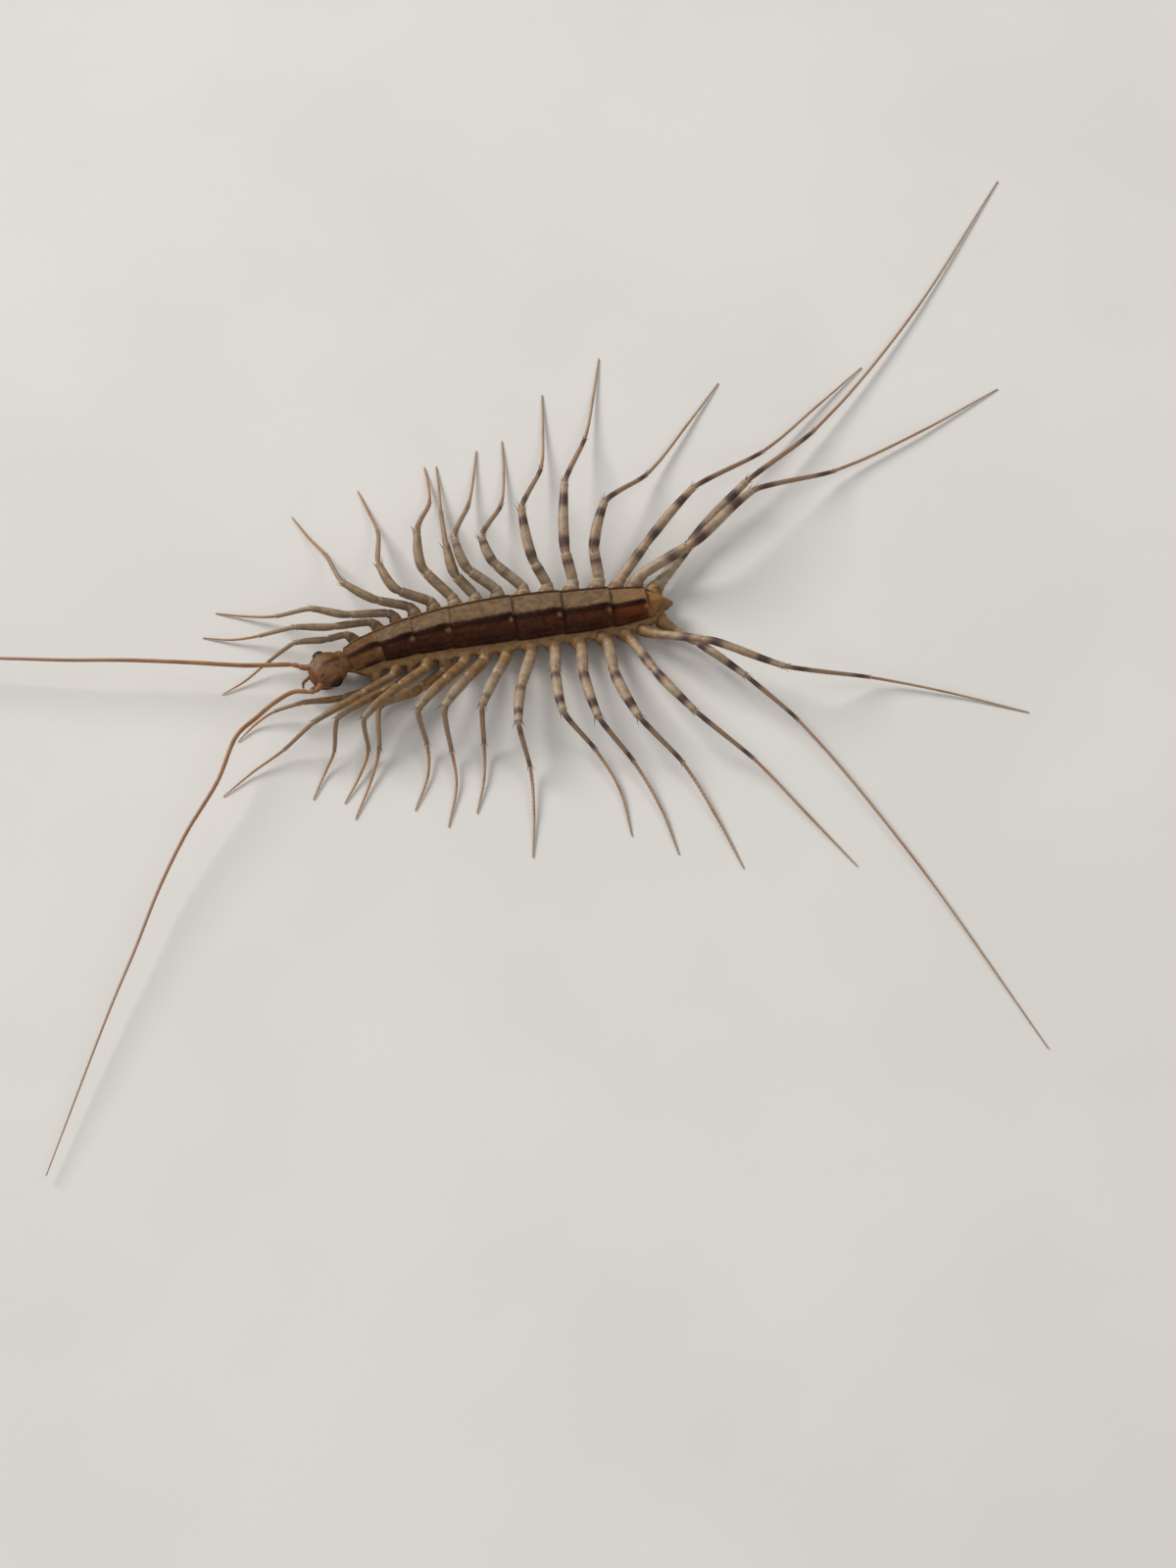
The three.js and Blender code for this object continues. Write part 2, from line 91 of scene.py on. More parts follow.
GROWTH = [(1, 0.62), (3, 0.76), (5, 0.95), (8, 1.0), (12, 1.04), (15, 1.0)]  # leg by leg
SLIM = {("r", 13): 0.88, ("l", 13): 0.84, ("l", 14): 0.77, ("l", 15): 0.78}  # thinner in the photograph
MIDDLE_LEG = 8
LAST_LEG = 15
HIP = dict(height=1.2, gap=0.46, out=0.8, rise=0.2, bow=0.35, reach=0.3)
HIP_ROOT = dict(sunk=0.75, last_sunk=1.1, up=0.1)
SWEEP = (-0.42, 0, 0.8)
KNEE_HEIGHT = (2.7, 3.5, 3.0)

# Places on the head: ahead of its middle, beside it and above it
EYE = dict(at=(0, 1.38, 0.12), size=(1.0, 0.86, 0.7))
EYE_RIM = dict(at=(0, 1.45, 0.12), size=(0.66, 0.5, 0.58))
ANTENNA_SUNK = (1.03, 0.81, 0.19)
ANTENNA_ROOT = (1.54, 1.13, 0.25)
ANTENNA_ELBOWS = {1: (1.84, 1.4, 0.35), -1: (2.05, 1.2, 0.35)}  # the left one bends less
# Claw and palp: widths, joints and where the tip darkens are by share of the length. Bristles: how many,
# how long and how thick
MOUTHPARTS = [
    dict(
        name="poison_claw", node="forcipule", sides=14, step=0.04, joint_length=0.12,
        route=[
            (-1.15, 0.42, -0.55), (-1.08, 0.5, -1.1), (-0.55, 0.55, -1.5), (0.3, 0.72, -1.47),
            (1.0, 0.5, -1.35), (1.3, 0.28, -1.3),
        ],
        widths=[(0, 0.3), (0.35, 0.36), (0.53, 0.33), (0.67, 0.25), (0.84, 0.19), (0.93, 0.11), (1, 0.02)],
        joints=(0.4, 0.6, 0.71, 0.8), dark_tip=(0.81, 0.93, 1.0), bristles=(26, 0.18, 0.014),
    ),
    dict(
        name="palp_shell", node="palp", sides=12, step=0.03, joint_length=0.07,
        route=[
            (0.95, 0.46, -0.38), (1.75, 0.48, -0.66), (2.0, 0.5, -0.78), (2.2, 0.38, -1.05),
            (2.22, 0.28, -1.4),
        ],
        widths=[(0, 0.18), (0.3, 0.18), (0.6, 0.14), (0.85, 0.11), (1, 0.04)],
        joints=(0.22, 0.42, 0.62, 0.82), dark_tip=(0.9, 1, 0.4), bristles=(40, 0.2, 0.012),
    ),
]
# Lumps that the head's shell runs over: their places and sizes
HEAD_LUMPS = [
    ((0, 0, 0), (HEAD["length"], HEAD["width"], HEAD["height"])),
    ((0.85, 0, 0.1), (1.2, 1.6, 1.1)),
    ((1.2, 0, -0.3), (0.85, 0.95, 0.7)),
    ((1.3, 0, -0.74), (0.42, 0.8, 0.26)),
    ((-1.35, 0, -0.1), (1.4, 2.1, 1.5)),
]
SIDE_LUMPS = [
    ((0.95, 0.72, 0.22), (0.85, 0.85, 0.8)),
    ((0.0, 1.2, 0.12), (1.24, 0.62, 1.08)),
    ((0.35, 0.85, -0.65), (1.7, 0.9, 0.7)),
]
# Dark marks on the head: ahead and beside, length and width
HEAD_MARKS = [
    ((0.1, 0.15), (0.5, 0.27)), ((-1.05, 0.12), (0.42, 0.25)), ((-0.5, 0.15), (0.4, 0.13)),
    ((-0.7, -0.55), (0.25, 0.12)), ((0.75, 0.62), (0.25, 0.12)), ((0.75, -0.55), (0.25, 0.12)),
]
HEAD_VOXEL = 0.05
BRISTLES = dict(back=26, head=70, lip=45)  # how many: on a millimetre of the back, and in all
FACET = dict(crease=0.975, rim=1.008, top=1.02, share=0.6)  # shares of the eye's radius, and of a cell

# The pose, read from the photograph in its frame of 1200 by 1600 pixels. A point is a pixel,
# and its place is where the sight line through it meets the height that the joint stands at.
VIEW = dict(azimuth=-9, elevation=65, distance=260, aim=(11.15, -12.11))
PHOTO = dict(focal=3300, middle=(600, 800), high=1600)  # pixels
NECK = (354.5, 671.5)

OVER = dict(lift=0.8, bow=0.9, rise=0.6)
UNDER = dict(lift=-0.8, bow=-0.3, rise=0)


def pose(knee, ankle, tarsus, foot, thigh=None, lift=0, bow=HIP["bow"], rise=HIP["rise"]):
    """A leg's pixels, and how much its knee is lifted, its thigh bows up and its shoulder rises."""
    joints = dict(thigh=thigh, knee=knee, ankle=ankle, tarsus=tarsus, foot=foot)
    return dict(joints, lift=lift, bow=bow, rise=rise)


RIGHT_LEGS = [
    pose((300, 656), (273, 676), (250, 695), (227, 709), (330, 653), lift=-0.3, bow=0.1, rise=0),
    pose((300, 640), (264, 649), (236, 653), (207, 651), (334, 640), bow=0.7, rise=0.05),
    pose((317, 621), (281, 629), (250, 629), (220, 626), (350, 627), lift=0.2, bow=0.75, rise=0.3),
    pose((349, 594), (333, 567), (315, 549), (298, 528), (380, 611), bow=0.7, rise=0.3),
    pose((386, 575), (386, 545), (377, 525), (365, 501), (402, 600), bow=0.65, rise=0.35),
    pose((425, 540), (438, 514), (437, 495), (433, 477), (430, 578)),
    pose((455, 556), (450, 524), (448, 500), (445, 476), (463, 584), lift=-0.45, rise=0),
    pose((463, 548), (478, 515), (483, 488), (486, 460), (475, 578), lift=0.45, rise=0.4),
    pose((491, 547), (511, 516), (514, 485), (512, 450), (502, 572)),
    pose((532, 518), (552, 478), (554, 440), (553, 403), (543, 569)),
    pose((576, 492), (597, 447), (605, 407), (611, 366), (576, 557)),
    pose((617, 511), (660, 484), (700, 435), (733, 391), (606, 557)),
    pose((708, 497), (778, 461), (833, 415), (879, 375), (665, 547), rise=0.1),
    pose((768, 500), (850, 481), (940, 440), (1018, 397), (711, 551), **OVER),
    pose((762, 491), (830, 440), (928, 325), (1018, 185), (712, 545), **UNDER),
]
LEFT_LEGS = [
    pose((308, 717), (280, 726), (261, 739), (243, 757), (345, 713), lift=-0.9, bow=0, rise=-0.3),
    pose((320, 737), (290, 765), (258, 788), (228, 813), (363, 711), lift=0.2, bow=0.4, rise=0.6),
    pose((344, 733), (341, 767), (333, 786), (320, 816), (384, 709), lift=-0.7, bow=-0.25, rise=-0.5),
    pose((371, 733), (376, 766), (367, 792), (352, 820), (402, 704), lift=0.45, bow=0.45, rise=0.6),
    pose((387, 720), (387, 764), (379, 796), (363, 836), (426, 704), lift=-0.85, bow=-0.2, rise=-0.4),
    pose((426, 724), (436, 760), (437, 790), (424, 827)),
    pose((453, 722), (461, 767), (466, 800), (458, 844)),
    pose((492, 720), (494, 760), (494, 795), (487, 830)),
    pose((529, 738), (541, 783), (545, 828), (544, 875), (531, 703)),
    pose((575, 727), (607, 764), (632, 805), (645, 853), (567, 689)),
    pose((611, 732), (646, 776), (674, 824), (693, 872), (596, 689)),
    pose((652, 731), (696, 777), (730, 832), (759, 886), (628, 689)),
    pose((709, 725), (769, 774), (825, 832), (875, 884), (672, 688)),
    pose((802, 680), (888, 691), (965, 706), (1050, 727), (728, 654), **OVER),
    pose((762, 690), (815, 735), (930, 873), (1070, 1070), (716, 658), **UNDER),
]
RIGHT_ANTENNA = [
    ((300, 678.5), 2.6), ((250, 679), 2.8), ((194, 676), 2.9), ((126, 673.6), 2.9), ((70, 673.6), 2.8),
    ((8, 672), 2.6), ((-90, 670), 2.1), ((-185, 672), 1.5), ((-272, 680), 1.0),
]
LEFT_ANTENNA = [
    ((300, 706), 2.6), ((280, 717), 2.9), ((262, 732), 3.0), ((242, 750), 3.0), ((222, 797), 2.8),
    ((190, 850), 2.5), ((163, 905), 2.1), ((138, 968), 1.8), ((112, 1030), 1.5), ((47, 1200), 0.7),
]
SIDES = {"r": 1, "l": -1}

# Finer forms, on the segments of a leg. A place along a leg counts the joints of its pose: 0 at the
# hip, 1 at the shoulder, 2 in the thigh, 3 at the knee, 4 at the ankle, 5 in the tarsus, 6 at the tip.
LEG_WIDTHS = [
    (-1.0, 0.46), (0.0, 0.72), (0.5, 0.64), (0.85, 0.55), (1.0, 0.5), (1.15, 0.46), (1.35, 0.45),
    (1.65, 0.45), (1.84, 0.38), (2.1, 0.44), (2.45, 0.42), (2.8, 0.34), (2.97, 0.31), (3.05, 0.21),
    (3.2, 0.22), (3.6, 0.195), (3.95, 0.175), (4.05, 0.135), (4.5, 0.118), (5.0, 0.1), (5.6, 0.075),
    (6.0, 0.045),
]
FOOT_HEIGHTS = dict(ankle=1.0, tarsus=0.35, foot=LEG_WIDTHS[-1][1] * 1.4)
LEG_JOINTS = {0.85: 0.06, 1.12: 0.12, 1.84: 0.22, 3.0: 0.3, 4.0: 0.26}  # and how far each one pinches
JOINT = dict(length=0.11, flare=0.5, flare_at=0.2, flare_length=0.12)  # flare is a share of the pinch
LEG = dict(sides=16, ridges=6, ridge=0.05, step=0.12, thin=0.5, thin_hip=0.85, fine=1400)
STRAIGHT = [(1.0, 0.0), (1.4, 0.35), (2.4, 0.35), (2.8, 0.6), (3.3, 0.6), (4.0, 0.4), (4.3, 0.0)]
ANNULUS = dict(length=0.36, flare=0.13, at=(0.0, 0.3, 0.7, 0.9), form=(-0.6, 0, 0.6, 1.0))  # of the tarsus
TARSUS_FROM = 4.0
FLOOR_GAP = 0.02  # the least height of a bristle's tip
SPINES = ((1.84, 0.5, 4), (3.0, 0.75, 5), (4.0, 0.5, 4))  # joint, length and number

# Feelers: rings that grow longer to the tip, widths by share of the length, and joints near the root
FEELER = dict(ring=0.21, lengthen=1.25, sides=10, joints=(1.01, 1.61), joint_length=0.12)
RING_AT, RING_WIDTHS, RING_DARK = (0.0, 0.4, 0.75, 0.92), (0.93, 1.0, 1.04, 0.95), (1.0, 0.0, 0.0, 0.6)
FEELER_WIDTHS = [(0, 0.27), (0.015, 0.24), (0.03, 0.19), (0.2, 0.17), (0.6, 0.12), (1, 0.05)]

# Dark rings of a leg: place, width, strength, and share of it that the near legs' have
RINGS = [
    (1.6, 0.12, 0.7, 0.5), (2.05, 0.14, 0.85, 0.9), (2.7, 0.12, 1.0, 1), (3.16, 0.14, 0.8, 1),
    (3.88, 0.12, 0.8, 1),
]
LAST_NEAR_RINGS = 12  # the last near leg with those shares
FAINT_LEGS = 7  # whose rings are faint, at the front
BLUSH = [(5.0, 0.13, 0.6), (4.15, 0.14, 0.45)]
REAR_BLUSH = [(1.85, 0.35, 0.25), (3.5, 0.22, 0.15)]


# Geometry helpers


def heading(angle):
    turn = math.radians(angle)
    return np.array([math.cos(turn), math.sin(turn), 0.0])


def lerp(a, b, t):
    return a + (b - a) * t


def smooth(low, high, x):
    t = np.clip((np.asarray(x, float) - low) / (high - low), 0, 1)
    return t * t * (3 - 2 * t)


def hump(x, middle, width):
    return np.exp(-(((np.asarray(x, float) - middle) / width) ** 2))


def humps(x, rows):
    """The sum of some humps, each given by its place, width and height."""
    return sum(high * hump(x, at, width) for at, width, high in rows)


def spot(x, y, at, size):
    return hump(x, at[0], size[0]) * hump(y, at[1], size[1])


def unit(v):
    v = np.asarray(v, float)
    return v / np.linalg.norm(v, axis=-1, keepdims=True)


def camera_axes():
    tilt = math.radians(VIEW["elevation"])
    right = heading(VIEW["azimuth"])
    away = heading(VIEW["azimuth"] + 90)
    back = -away * math.cos(tilt) + UP * math.sin(tilt)
    up = away * math.sin(tilt) + UP * math.cos(tilt)
    place = np.array([*VIEW["aim"], 0.0]) + back * VIEW["distance"]
    return right, up, back, place


def seen_at(pixel, height):
    """The point at a height that the photograph shows at a pixel."""
    right, up, back, place = camera_axes()
    column, row = pixel
    middle_column, middle_row = PHOTO["middle"]
    ray = right * (column - middle_column) + up * (middle_row - row) - back * PHOTO["focal"]
    return place + ray * ((height - place[2]) / ray[2])


def curve(points, t):
    """Places on a centripetal Catmull-Rom curve, t from 0 at the first point to 1 at the last."""
    points = np.asarray(points, float)
    padded = np.vstack([2 * points[0] - points[1], points, 2 * points[-1] - points[-2]])
    at = np.clip(np.atleast_1d(np.asarray(t, float)), 0, 1) * (len(points) - 1)
    part = np.minimum(at.astype(int), len(points) - 2)
    w = (at - part)[:, None]
    p0, p1, p2, p3 = (padded[part + k] for k in range(4))
    pairs = ((p0, p1), (p1, p2), (p2, p3))
    d0, d1, d2 = (np.sqrt(np.linalg.norm(b - a, axis=1))[:, None] for a, b in pairs)
    leave = d1 * ((p1 - p0) / d0 - (p2 - p0) / (d0 + d1) + (p2 - p1) / d1)
    arrive = d1 * ((p2 - p1) / d1 - (p3 - p1) / (d1 + d2) + (p3 - p2) / d2)
    made = (2 * w**3 - 3 * w**2 + 1) * p1 + (w**3 - 2 * w**2 + w) * leave
    return made + (3 * w**2 - 2 * w**3) * p2 + (w**3 - w**2) * arrive


def lengths(points):
    """Distance along a row of points, from 0."""
    return np.concatenate([[0], np.cumsum(np.linalg.norm(np.diff(points, axis=0), axis=1))])


def resample(points, far, at):
    """Points of a route at some distances along it, where far is the distance of each point it has."""
    return np.stack([np.interp(at, far, points[:, k]) for k in range(3)], 1)


def straight(points, t):
    """Places on the straight lines between points, with t as for curve."""
    return resample(np.array(points), np.linspace(0, 1, len(points)), t)


def table(x, rows):
    """A size read from a table of places and sizes."""
    return np.interp(x, *zip(*rows))


def circle(count):
    """Angles spread round a circle."""
    return np.linspace(0, 2 * math.pi, count, endpoint=False)


def outward(turns, across, beside):
    """Directions out from a limb at some angles round it."""
    return np.cos(turns) * across + np.sin(turns) * beside


def directions(points):
    """At each point of a route: along it, and two directions across it that don't twist."""
    along = unit(np.gradient(points, axis=0))
    across = np.empty_like(along)
    last = UP
    for i, way in enumerate(along):
        last = unit(last - way * (last @ way))
        across[i] = last
    return along, across, np.cross(across, along)


# Meshes

PATCH_SIZE = 0.003  # of a bristle's patch in the map, which is 1 across
MAP_END = 0.99  # the last place where a patch starts
TUBE_MAP = 0.8  # how high a tube's own faces reach in the map
BRISTLE_MAP = 0.9  # how high the patches of its bristles lie


class Piece:
    """One mesh made of closed forms, with named values on its points and a map of its own."""

    def __init__(self):
        self.points = []
        self.faces = []
        self.maps = []
        self.values = {}
        self.count = 0

    def add(self, points, faces, maps, **values):
        points = np.asarray(points, float).reshape(-1, 3)
        for f, m in zip(faces, maps):
            self.faces.append(np.asarray(f, int) + self.count)
            self.maps.append(np.asarray(m, float))
        for name in dict.fromkeys([*self.values, *values]):
            rows = self.values.setdefault(name, [np.zeros(self.count)])
            rows.append(np.broadcast_to(values.get(name, 0.0), len(points)).astype(float))
        self.points.append(points)
        self.count += len(points)

    def make(self, name, material, slot, *nodes):
        mesh = bpy.data.meshes.new(name)
        faces = [row for f in self.faces for row in f.tolist()]
        mesh.from_pydata((np.concatenate(self.points) * MM).tolist(), [], faces)
        mesh.shade_smooth()
        for key, rows in self.values.items():
            put_value(mesh, key, np.concatenate(rows))
        layer = mesh.uv_layers.new(name="OFBake")
        corners = np.concatenate([m.reshape(-1, 2) for m in self.maps])
        layer.data.foreach_set("uv", corners.astype(np.float32).ravel())
        place(name, mesh, material, slot, *nodes)


def put_value(mesh, name, rows):
    """A named value on the points of a mesh, for its material to read."""
    mesh.attributes.new(name, "FLOAT", "POINT").data.foreach_set("value", rows.astype(np.float32))


def add_object(name, data):
    made = bpy.data.objects.new(name, data)
    bpy.context.scene.collection.objects.link(made)
    return made


def place(name, mesh, material, slot, *nodes):
    """Puts a piece in the scene, on the body that its nodes ride and in their stead."""
    mesh.materials.append(material)
    piece = add_object(name, mesh)
    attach(piece, "root")
    if nodes:
        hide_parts(*nodes)


def quads(grid):
    """The four corners of each cell of a grid."""
    corners = grid[:-1, :-1], grid[:-1, 1:], grid[1:, 1:], grid[1:, :-1]
    return np.stack(corners, 2).reshape(-1, 4, *grid.shape[2:])


def grid_faces(rows, columns, wrap):
    """The four-sided faces of a grid of points, and where each corner lies in the grid, from 0 to 1."""
    wide = columns if wrap else columns - 1
    i, j = np.meshgrid(np.arange(rows), np.arange(wide + 1), indexing="ij")
    return quads(i * columns + j % columns), quads(np.stack([i / (rows - 1), j / wide], 2))


def closed_rings(piece, grid, ends, map_size, cap_maps, flip=False, **values):
    """Adds a closed form made of rings of points and a middle point for each end."""
    rows, sides = grid.shape[:2]
    count = rows * sides
    first = np.arange(sides)
    after = np.roll(first, -1)
    last = count - sides
    middles = np.repeat([count, count + 1], sides)
    caps = np.stack([middles, np.append(after, first + last), np.append(first, after + last)], 1)
    faces, maps = grid_faces(rows, sides, wrap=True)
    if flip:
        faces, maps, caps = faces[:, ::-1], maps[:, ::-1], caps[:, [0, 2, 1]]
    spread = {}
    for name, x in values.items():
        flat = np.broadcast_to(x, (rows, sides)).ravel()
        spread[name] = np.append(flat, flat[[0, -1]])
    points = np.vstack([grid.reshape(-1, 3), *ends])
    piece.add(points, [faces, caps], [maps * map_size, cap_maps], **spread)


def patch(u, v, corners):
    """A small patch of the map, for a form that keeps the colour of its root."""
    u, v = np.broadcast_arrays(np.asarray(u, float), np.asarray(v, float))
    shape = np.array([[0, 0], [1, 0], [1, 1], [0, 1]])[:corners] * PATCH_SIZE
    return np.stack([u, v], -1)[..., None, :] + shape


def tube(piece, points, radii, sides, **values):
    """A closed tube along a route. radii has one number for each point, or one for each of its sides."""
    along, across, beside = directions(points)
    radii = np.broadcast_to(np.reshape(radii, (len(points), -1)), (len(points), sides))
    out = outward(circle(sides)[None, :, None], across[:, None], beside[:, None])
    grid = points[:, None] + out * radii[:, :, None]
    cap_maps = patch(np.repeat([0, MAP_END], sides), TUBE_MAP + 0.01, 3)
    values = {name: np.reshape(x, (-1, 1)) for name, x in values.items()}
    closed_rings(piece, grid, points[[0, -1]], [1, TUBE_MAP], cap_maps, **values)
    return along, across, beside


def spikes(piece, roots, ways, long, thick, maps, **values):
    """Sharp four-sided spines or bristles, one from each root along its way."""
    roots, ways = np.asarray(roots, float), unit(ways)
    count = len(roots)
    if not count:
        return
    long = np.broadcast_to(long, count)[:, None]
    thick = np.broadcast_to(thick, count)[:, None]
    helper = np.where(np.abs(ways[:, 2:]) < 0.9, UP, [1.0, 0.0, 0.0])
    a = unit(np.cross(ways, helper))
    b = np.cross(ways, a)
    base = roots - ways * thick
    corners = [base + a * thick, base + b * thick, base - a * thick, base - b * thick]
    points = np.stack([*corners, roots + ways * long], 1)
    start = (np.arange(count) * 5)[:, None]
    sides = np.concatenate([start + [k, (k + 1) % 4, 4] for k in range(4)])
    base_faces = start + [3, 2, 1, 0]
    u, v = maps
    u, v = np.broadcast_to(u, count), np.broadcast_to(v, count)
    spread = {name: np.repeat(np.broadcast_to(x, count), 5) for name, x in values.items()}
    four = patch(np.tile(u, 4), np.tile(v, 4), 3)
    piece.add(points, [sides, base_faces], [four, patch(u, v, 4)], **spread)


def slab(piece, top, bottom, **values):
    """A closed plate between two grids of points."""
    rows, columns = top.shape[:2]
    faces, maps = grid_faces(rows, columns, wrap=False)
    count = rows * columns
    grid = np.arange(count).reshape(rows, columns)
    edge = np.concatenate([grid[0, :-1], grid[:-1, -1], grid[-1, :0:-1], grid[:0:-1, 0]])
    after = np.roll(edge, -1)
    rim = np.stack([after, edge, edge + count, after + count], 1)
    rim_maps = patch(np.arange(len(edge)) / len(edge) * MAP_END, 0.96, 4)
    spread = {name: np.tile(np.broadcast_to(x, (rows, columns)).ravel(), 2) for name, x in values.items()}
    half, above = [0.98, 0.45], [0, 0.48]
    sheets = [maps * half, maps[:, ::-1] * half + above, rim_maps]
    points = np.concatenate([top.reshape(-1, 3), bottom.reshape(-1, 3)])
    piece.add(points, [faces, faces[:, ::-1] + count, rim], sheets, **spread)


# Materials

MIX_INPUTS = (0, 6, 7)  # the Mix node's factor and two colours
MIX_RESULT = 2  # and its colour output


def shade(red, green, blue):
    """A colour as the photograph shows it, from 0 to 255, as light."""
    parts = [c / 255 for c in (red, green, blue)]
    return (*(c / 12.92 if c <= 0.04045 else ((c + 0.055) / 1.055) ** 2.4 for c in parts), 1.0)


class Paint:
    """A material's nodes. Every function gives the socket that carries its result. A colour is such a
    socket, or its red, green and blue as the photograph shows them."""

    def __init__(self, name, **constants):
        self.material = bpy.data.materials.new(name)
        self.material.use_nodes = True
        self.tree = self.material.node_tree
        self.shader = self.tree.nodes["Principled BSDF"].inputs
        for socket, value in constants.items():
            self.shader[socket.replace("_", " ")].default_value = value
        self.place = self.node("ShaderNodeTexCoord")["Object"]

    def node(self, kind, sockets=(), **settings):
        """Adds a node, with a value or a link for each of some of its inputs. Gives its outputs."""
        made = self.tree.nodes.new(kind)
        for key, value in settings.items():
            setattr(made, key, value)
        for key, value in dict(sockets).items():
            self.put(value, made.inputs[key])
        return made.outputs

    def put(self, value, socket):
        if isinstance(value, bpy.types.NodeSocket):
            self.tree.links.new(value, socket)
        else:
            socket.default_value = shade(*value) if isinstance(value, tuple) else value

    def value(self, name):
        return self.node("ShaderNodeAttribute", attribute_name=name)["Fac"]

    def math(self, operation, a, b):
        return self.node("ShaderNodeMath", {0: a, 1: b}, operation=operation)[0]

    def times(self, a, b):
        return self.math("MULTIPLY", a, b)

    def plus(self, a, b):
        return self.math("ADD", a, b)

    def noise(self, size, detail=3.0):
        """Soft noise from 0 to 1 whose lumps are about size millimetres across."""
        sockets = dict(Vector=self.place, Scale=1 / (size * MM), Detail=detail, Roughness=0.55)
        return self.node("ShaderNodeTexNoise", sockets)[0]

    def cells(self, size):
        return self.node("ShaderNodeTexVoronoi", dict(Vector=self.place, Scale=1 / (size * MM)))["Distance"]

    def between(self, x, low, high):
        """From 0 at low to 1 at high."""
        sockets = {"Value": x, "From Min": low, "From Max": high}
        return self.node("ShaderNodeMapRange", sockets, interpolation_type="SMOOTHSTEP")[0]

    def ragged(self, name, size, wobble=0.35, low=0.3, high=0.7):
        """A named value whose edge is broken by noise."""
        shift = self.times(self.math("SUBTRACT", self.noise(size), 0.5), wobble)
        return self.between(self.plus(self.value(name), shift), low, high)

    def mix(self, factor, colour, other):
        sockets = dict(zip(MIX_INPUTS, (factor, colour, other)))
        return self.node("ShaderNodeMix", sockets, data_type="RGBA")[MIX_RESULT]

    def blotch(self, colour, other, size, share=1.0, low=0.35, high=0.65):
        """A colour with blotches of another."""
        return self.mix(self.times(self.between(self.noise(size), low, high), share), colour, other)

    def over(self, colour, name, other, *edge):
        """A colour with another laid where a named value is, with an edge as ragged makes it if given."""
        return self.mix(self.ragged(name, *edge) if edge else self.value(name), colour, other)

    def gloss(self, low, high, size):
        """Roughness that wanders between two values."""
        return self.plus(self.times(self.noise(size), high - low), low)

    def finish(self, colour, height, depth, roughness):
        """Joins the colour, fine relief of a depth in millimetres and the roughness to the shader."""
        bump = self.node("ShaderNodeBump", dict(Distance=depth * MM, Height=height))[0]
        for socket, value in (("Base Color", colour), ("Normal", bump), ("Roughness", roughness)):
            self.put(value, self.shader[socket])
        return self.material


def plate_paint():
    paint = Paint("back_plate_shell", Specular_IOR_Level=0.1)
    khaki = paint.blotch((117, 95, 72), (98, 77, 57), 0.55)
    khaki = paint.over(khaki, "tail", (122, 92, 62), 0.6)
    # The left half of the back, painted dark red-brown: partly its own darker colour and partly painted
    # shade, as that side lay away from the light.
    shaded = paint.blotch((65, 33, 16), (46, 21, 9), 0.4, 0.9)
    shaded = paint.over(shaded, "tail", (84, 40, 16), 0.7)
    colour = paint.over(khaki, "near", shaded, 0.3, 0.25, 0.2, 0.8)
    tan = paint.blotch((112, 78, 45), (92, 62, 34), 0.5)
    tan = paint.over(tan, "tail", (136, 96, 56))
    colour = paint.over(colour, "tan", tan, 0.5, 0.4, 0.15, 0.85)
    colour = paint.over(colour, "edge", (56, 38, 24), 0.25, 0.3)
    colour = paint.over(colour, "stripe", (36, 11, 2), 0.3, 0.6, 0.1, 0.95)
    colour = paint.over(colour, "pale", (122, 84, 58), 0.15, 0.7, 0.2, 1.1)
    grain = paint.plus(paint.cells(0.13), paint.times(paint.noise(0.35), 1.5))
    return paint.finish(colour, grain, 0.008, paint.gloss(0.5, 0.72, 0.4))


def skin_paint():
    paint = Paint("side_skin", Subsurface_Weight=0.15, Subsurface_Scale=0.3 * MM)
    colour = paint.blotch((150, 113, 64), (126, 92, 50), 0.8)
    colour = paint.blotch(colour, (92, 64, 36), 0.45, 0.6, 0.56, 0.7)
    colour = paint.over(colour, "belly", (150, 126, 90), 0.6, 0.4)
    # Painted shade: darker in the creases between the hips and under the plates' edges.
    colour = paint.over(colour, "fold", (78, 52, 30), 0.3, 0.3)
    colour = paint.over(colour, "tail", (122, 90, 54), 0.5, 0.3)
    wrinkles = paint.plus(paint.noise(0.16, 4), paint.times(paint.noise(0.5), 1.2))
    return paint.finish(colour, wrinkles, 0.035, paint.gloss(0.45, 0.7, 0.4))


def head_paint():
    paint = Paint("head_shell", Specular_IOR_Level=0.35)
    colour = paint.blotch((113, 77, 39), (91, 59, 27), 0.6)
    colour = paint.over(colour, "rim", (104, 58, 24), 0.3, 0.4, 0.2, 0.9)
    colour = paint.over(colour, "mark", (72, 38, 20), 0.3, 0.5, 0.15, 0.85)
    colour = paint.over(colour, "orbit", (62, 36, 18), 0.2, 0.3, 0.2, 0.9)
    colour = paint.over(colour, "groove", (60, 36, 19))
    grain = paint.plus(paint.noise(0.2), paint.times(paint.cells(0.1), 0.5))
    return paint.finish(colour, grain, 0.01, paint.gloss(0.4, 0.6, 0.4))


def eye_paint():
    paint = Paint("eye_facet", Specular_IOR_Level=0.2, Coat_Weight=0.06, Coat_Roughness=0.2)
    return paint.finish(paint.blotch((22, 8, 3), (38, 13, 4), 0.35), paint.noise(0.1), 0.003, 0.35)


def mouth_paint():
    paint = Paint("mouthpart_shell", Specular_IOR_Level=0.4)
    colour = paint.blotch((158, 100, 50), (128, 78, 38), 0.4)
    colour = paint.over(colour, "tip", (58, 26, 14))
    colour = paint.over(colour, "hair", (96, 60, 34))
    return paint.finish(colour, paint.noise(0.12), 0.01, paint.gloss(0.35, 0.55, 0.3))


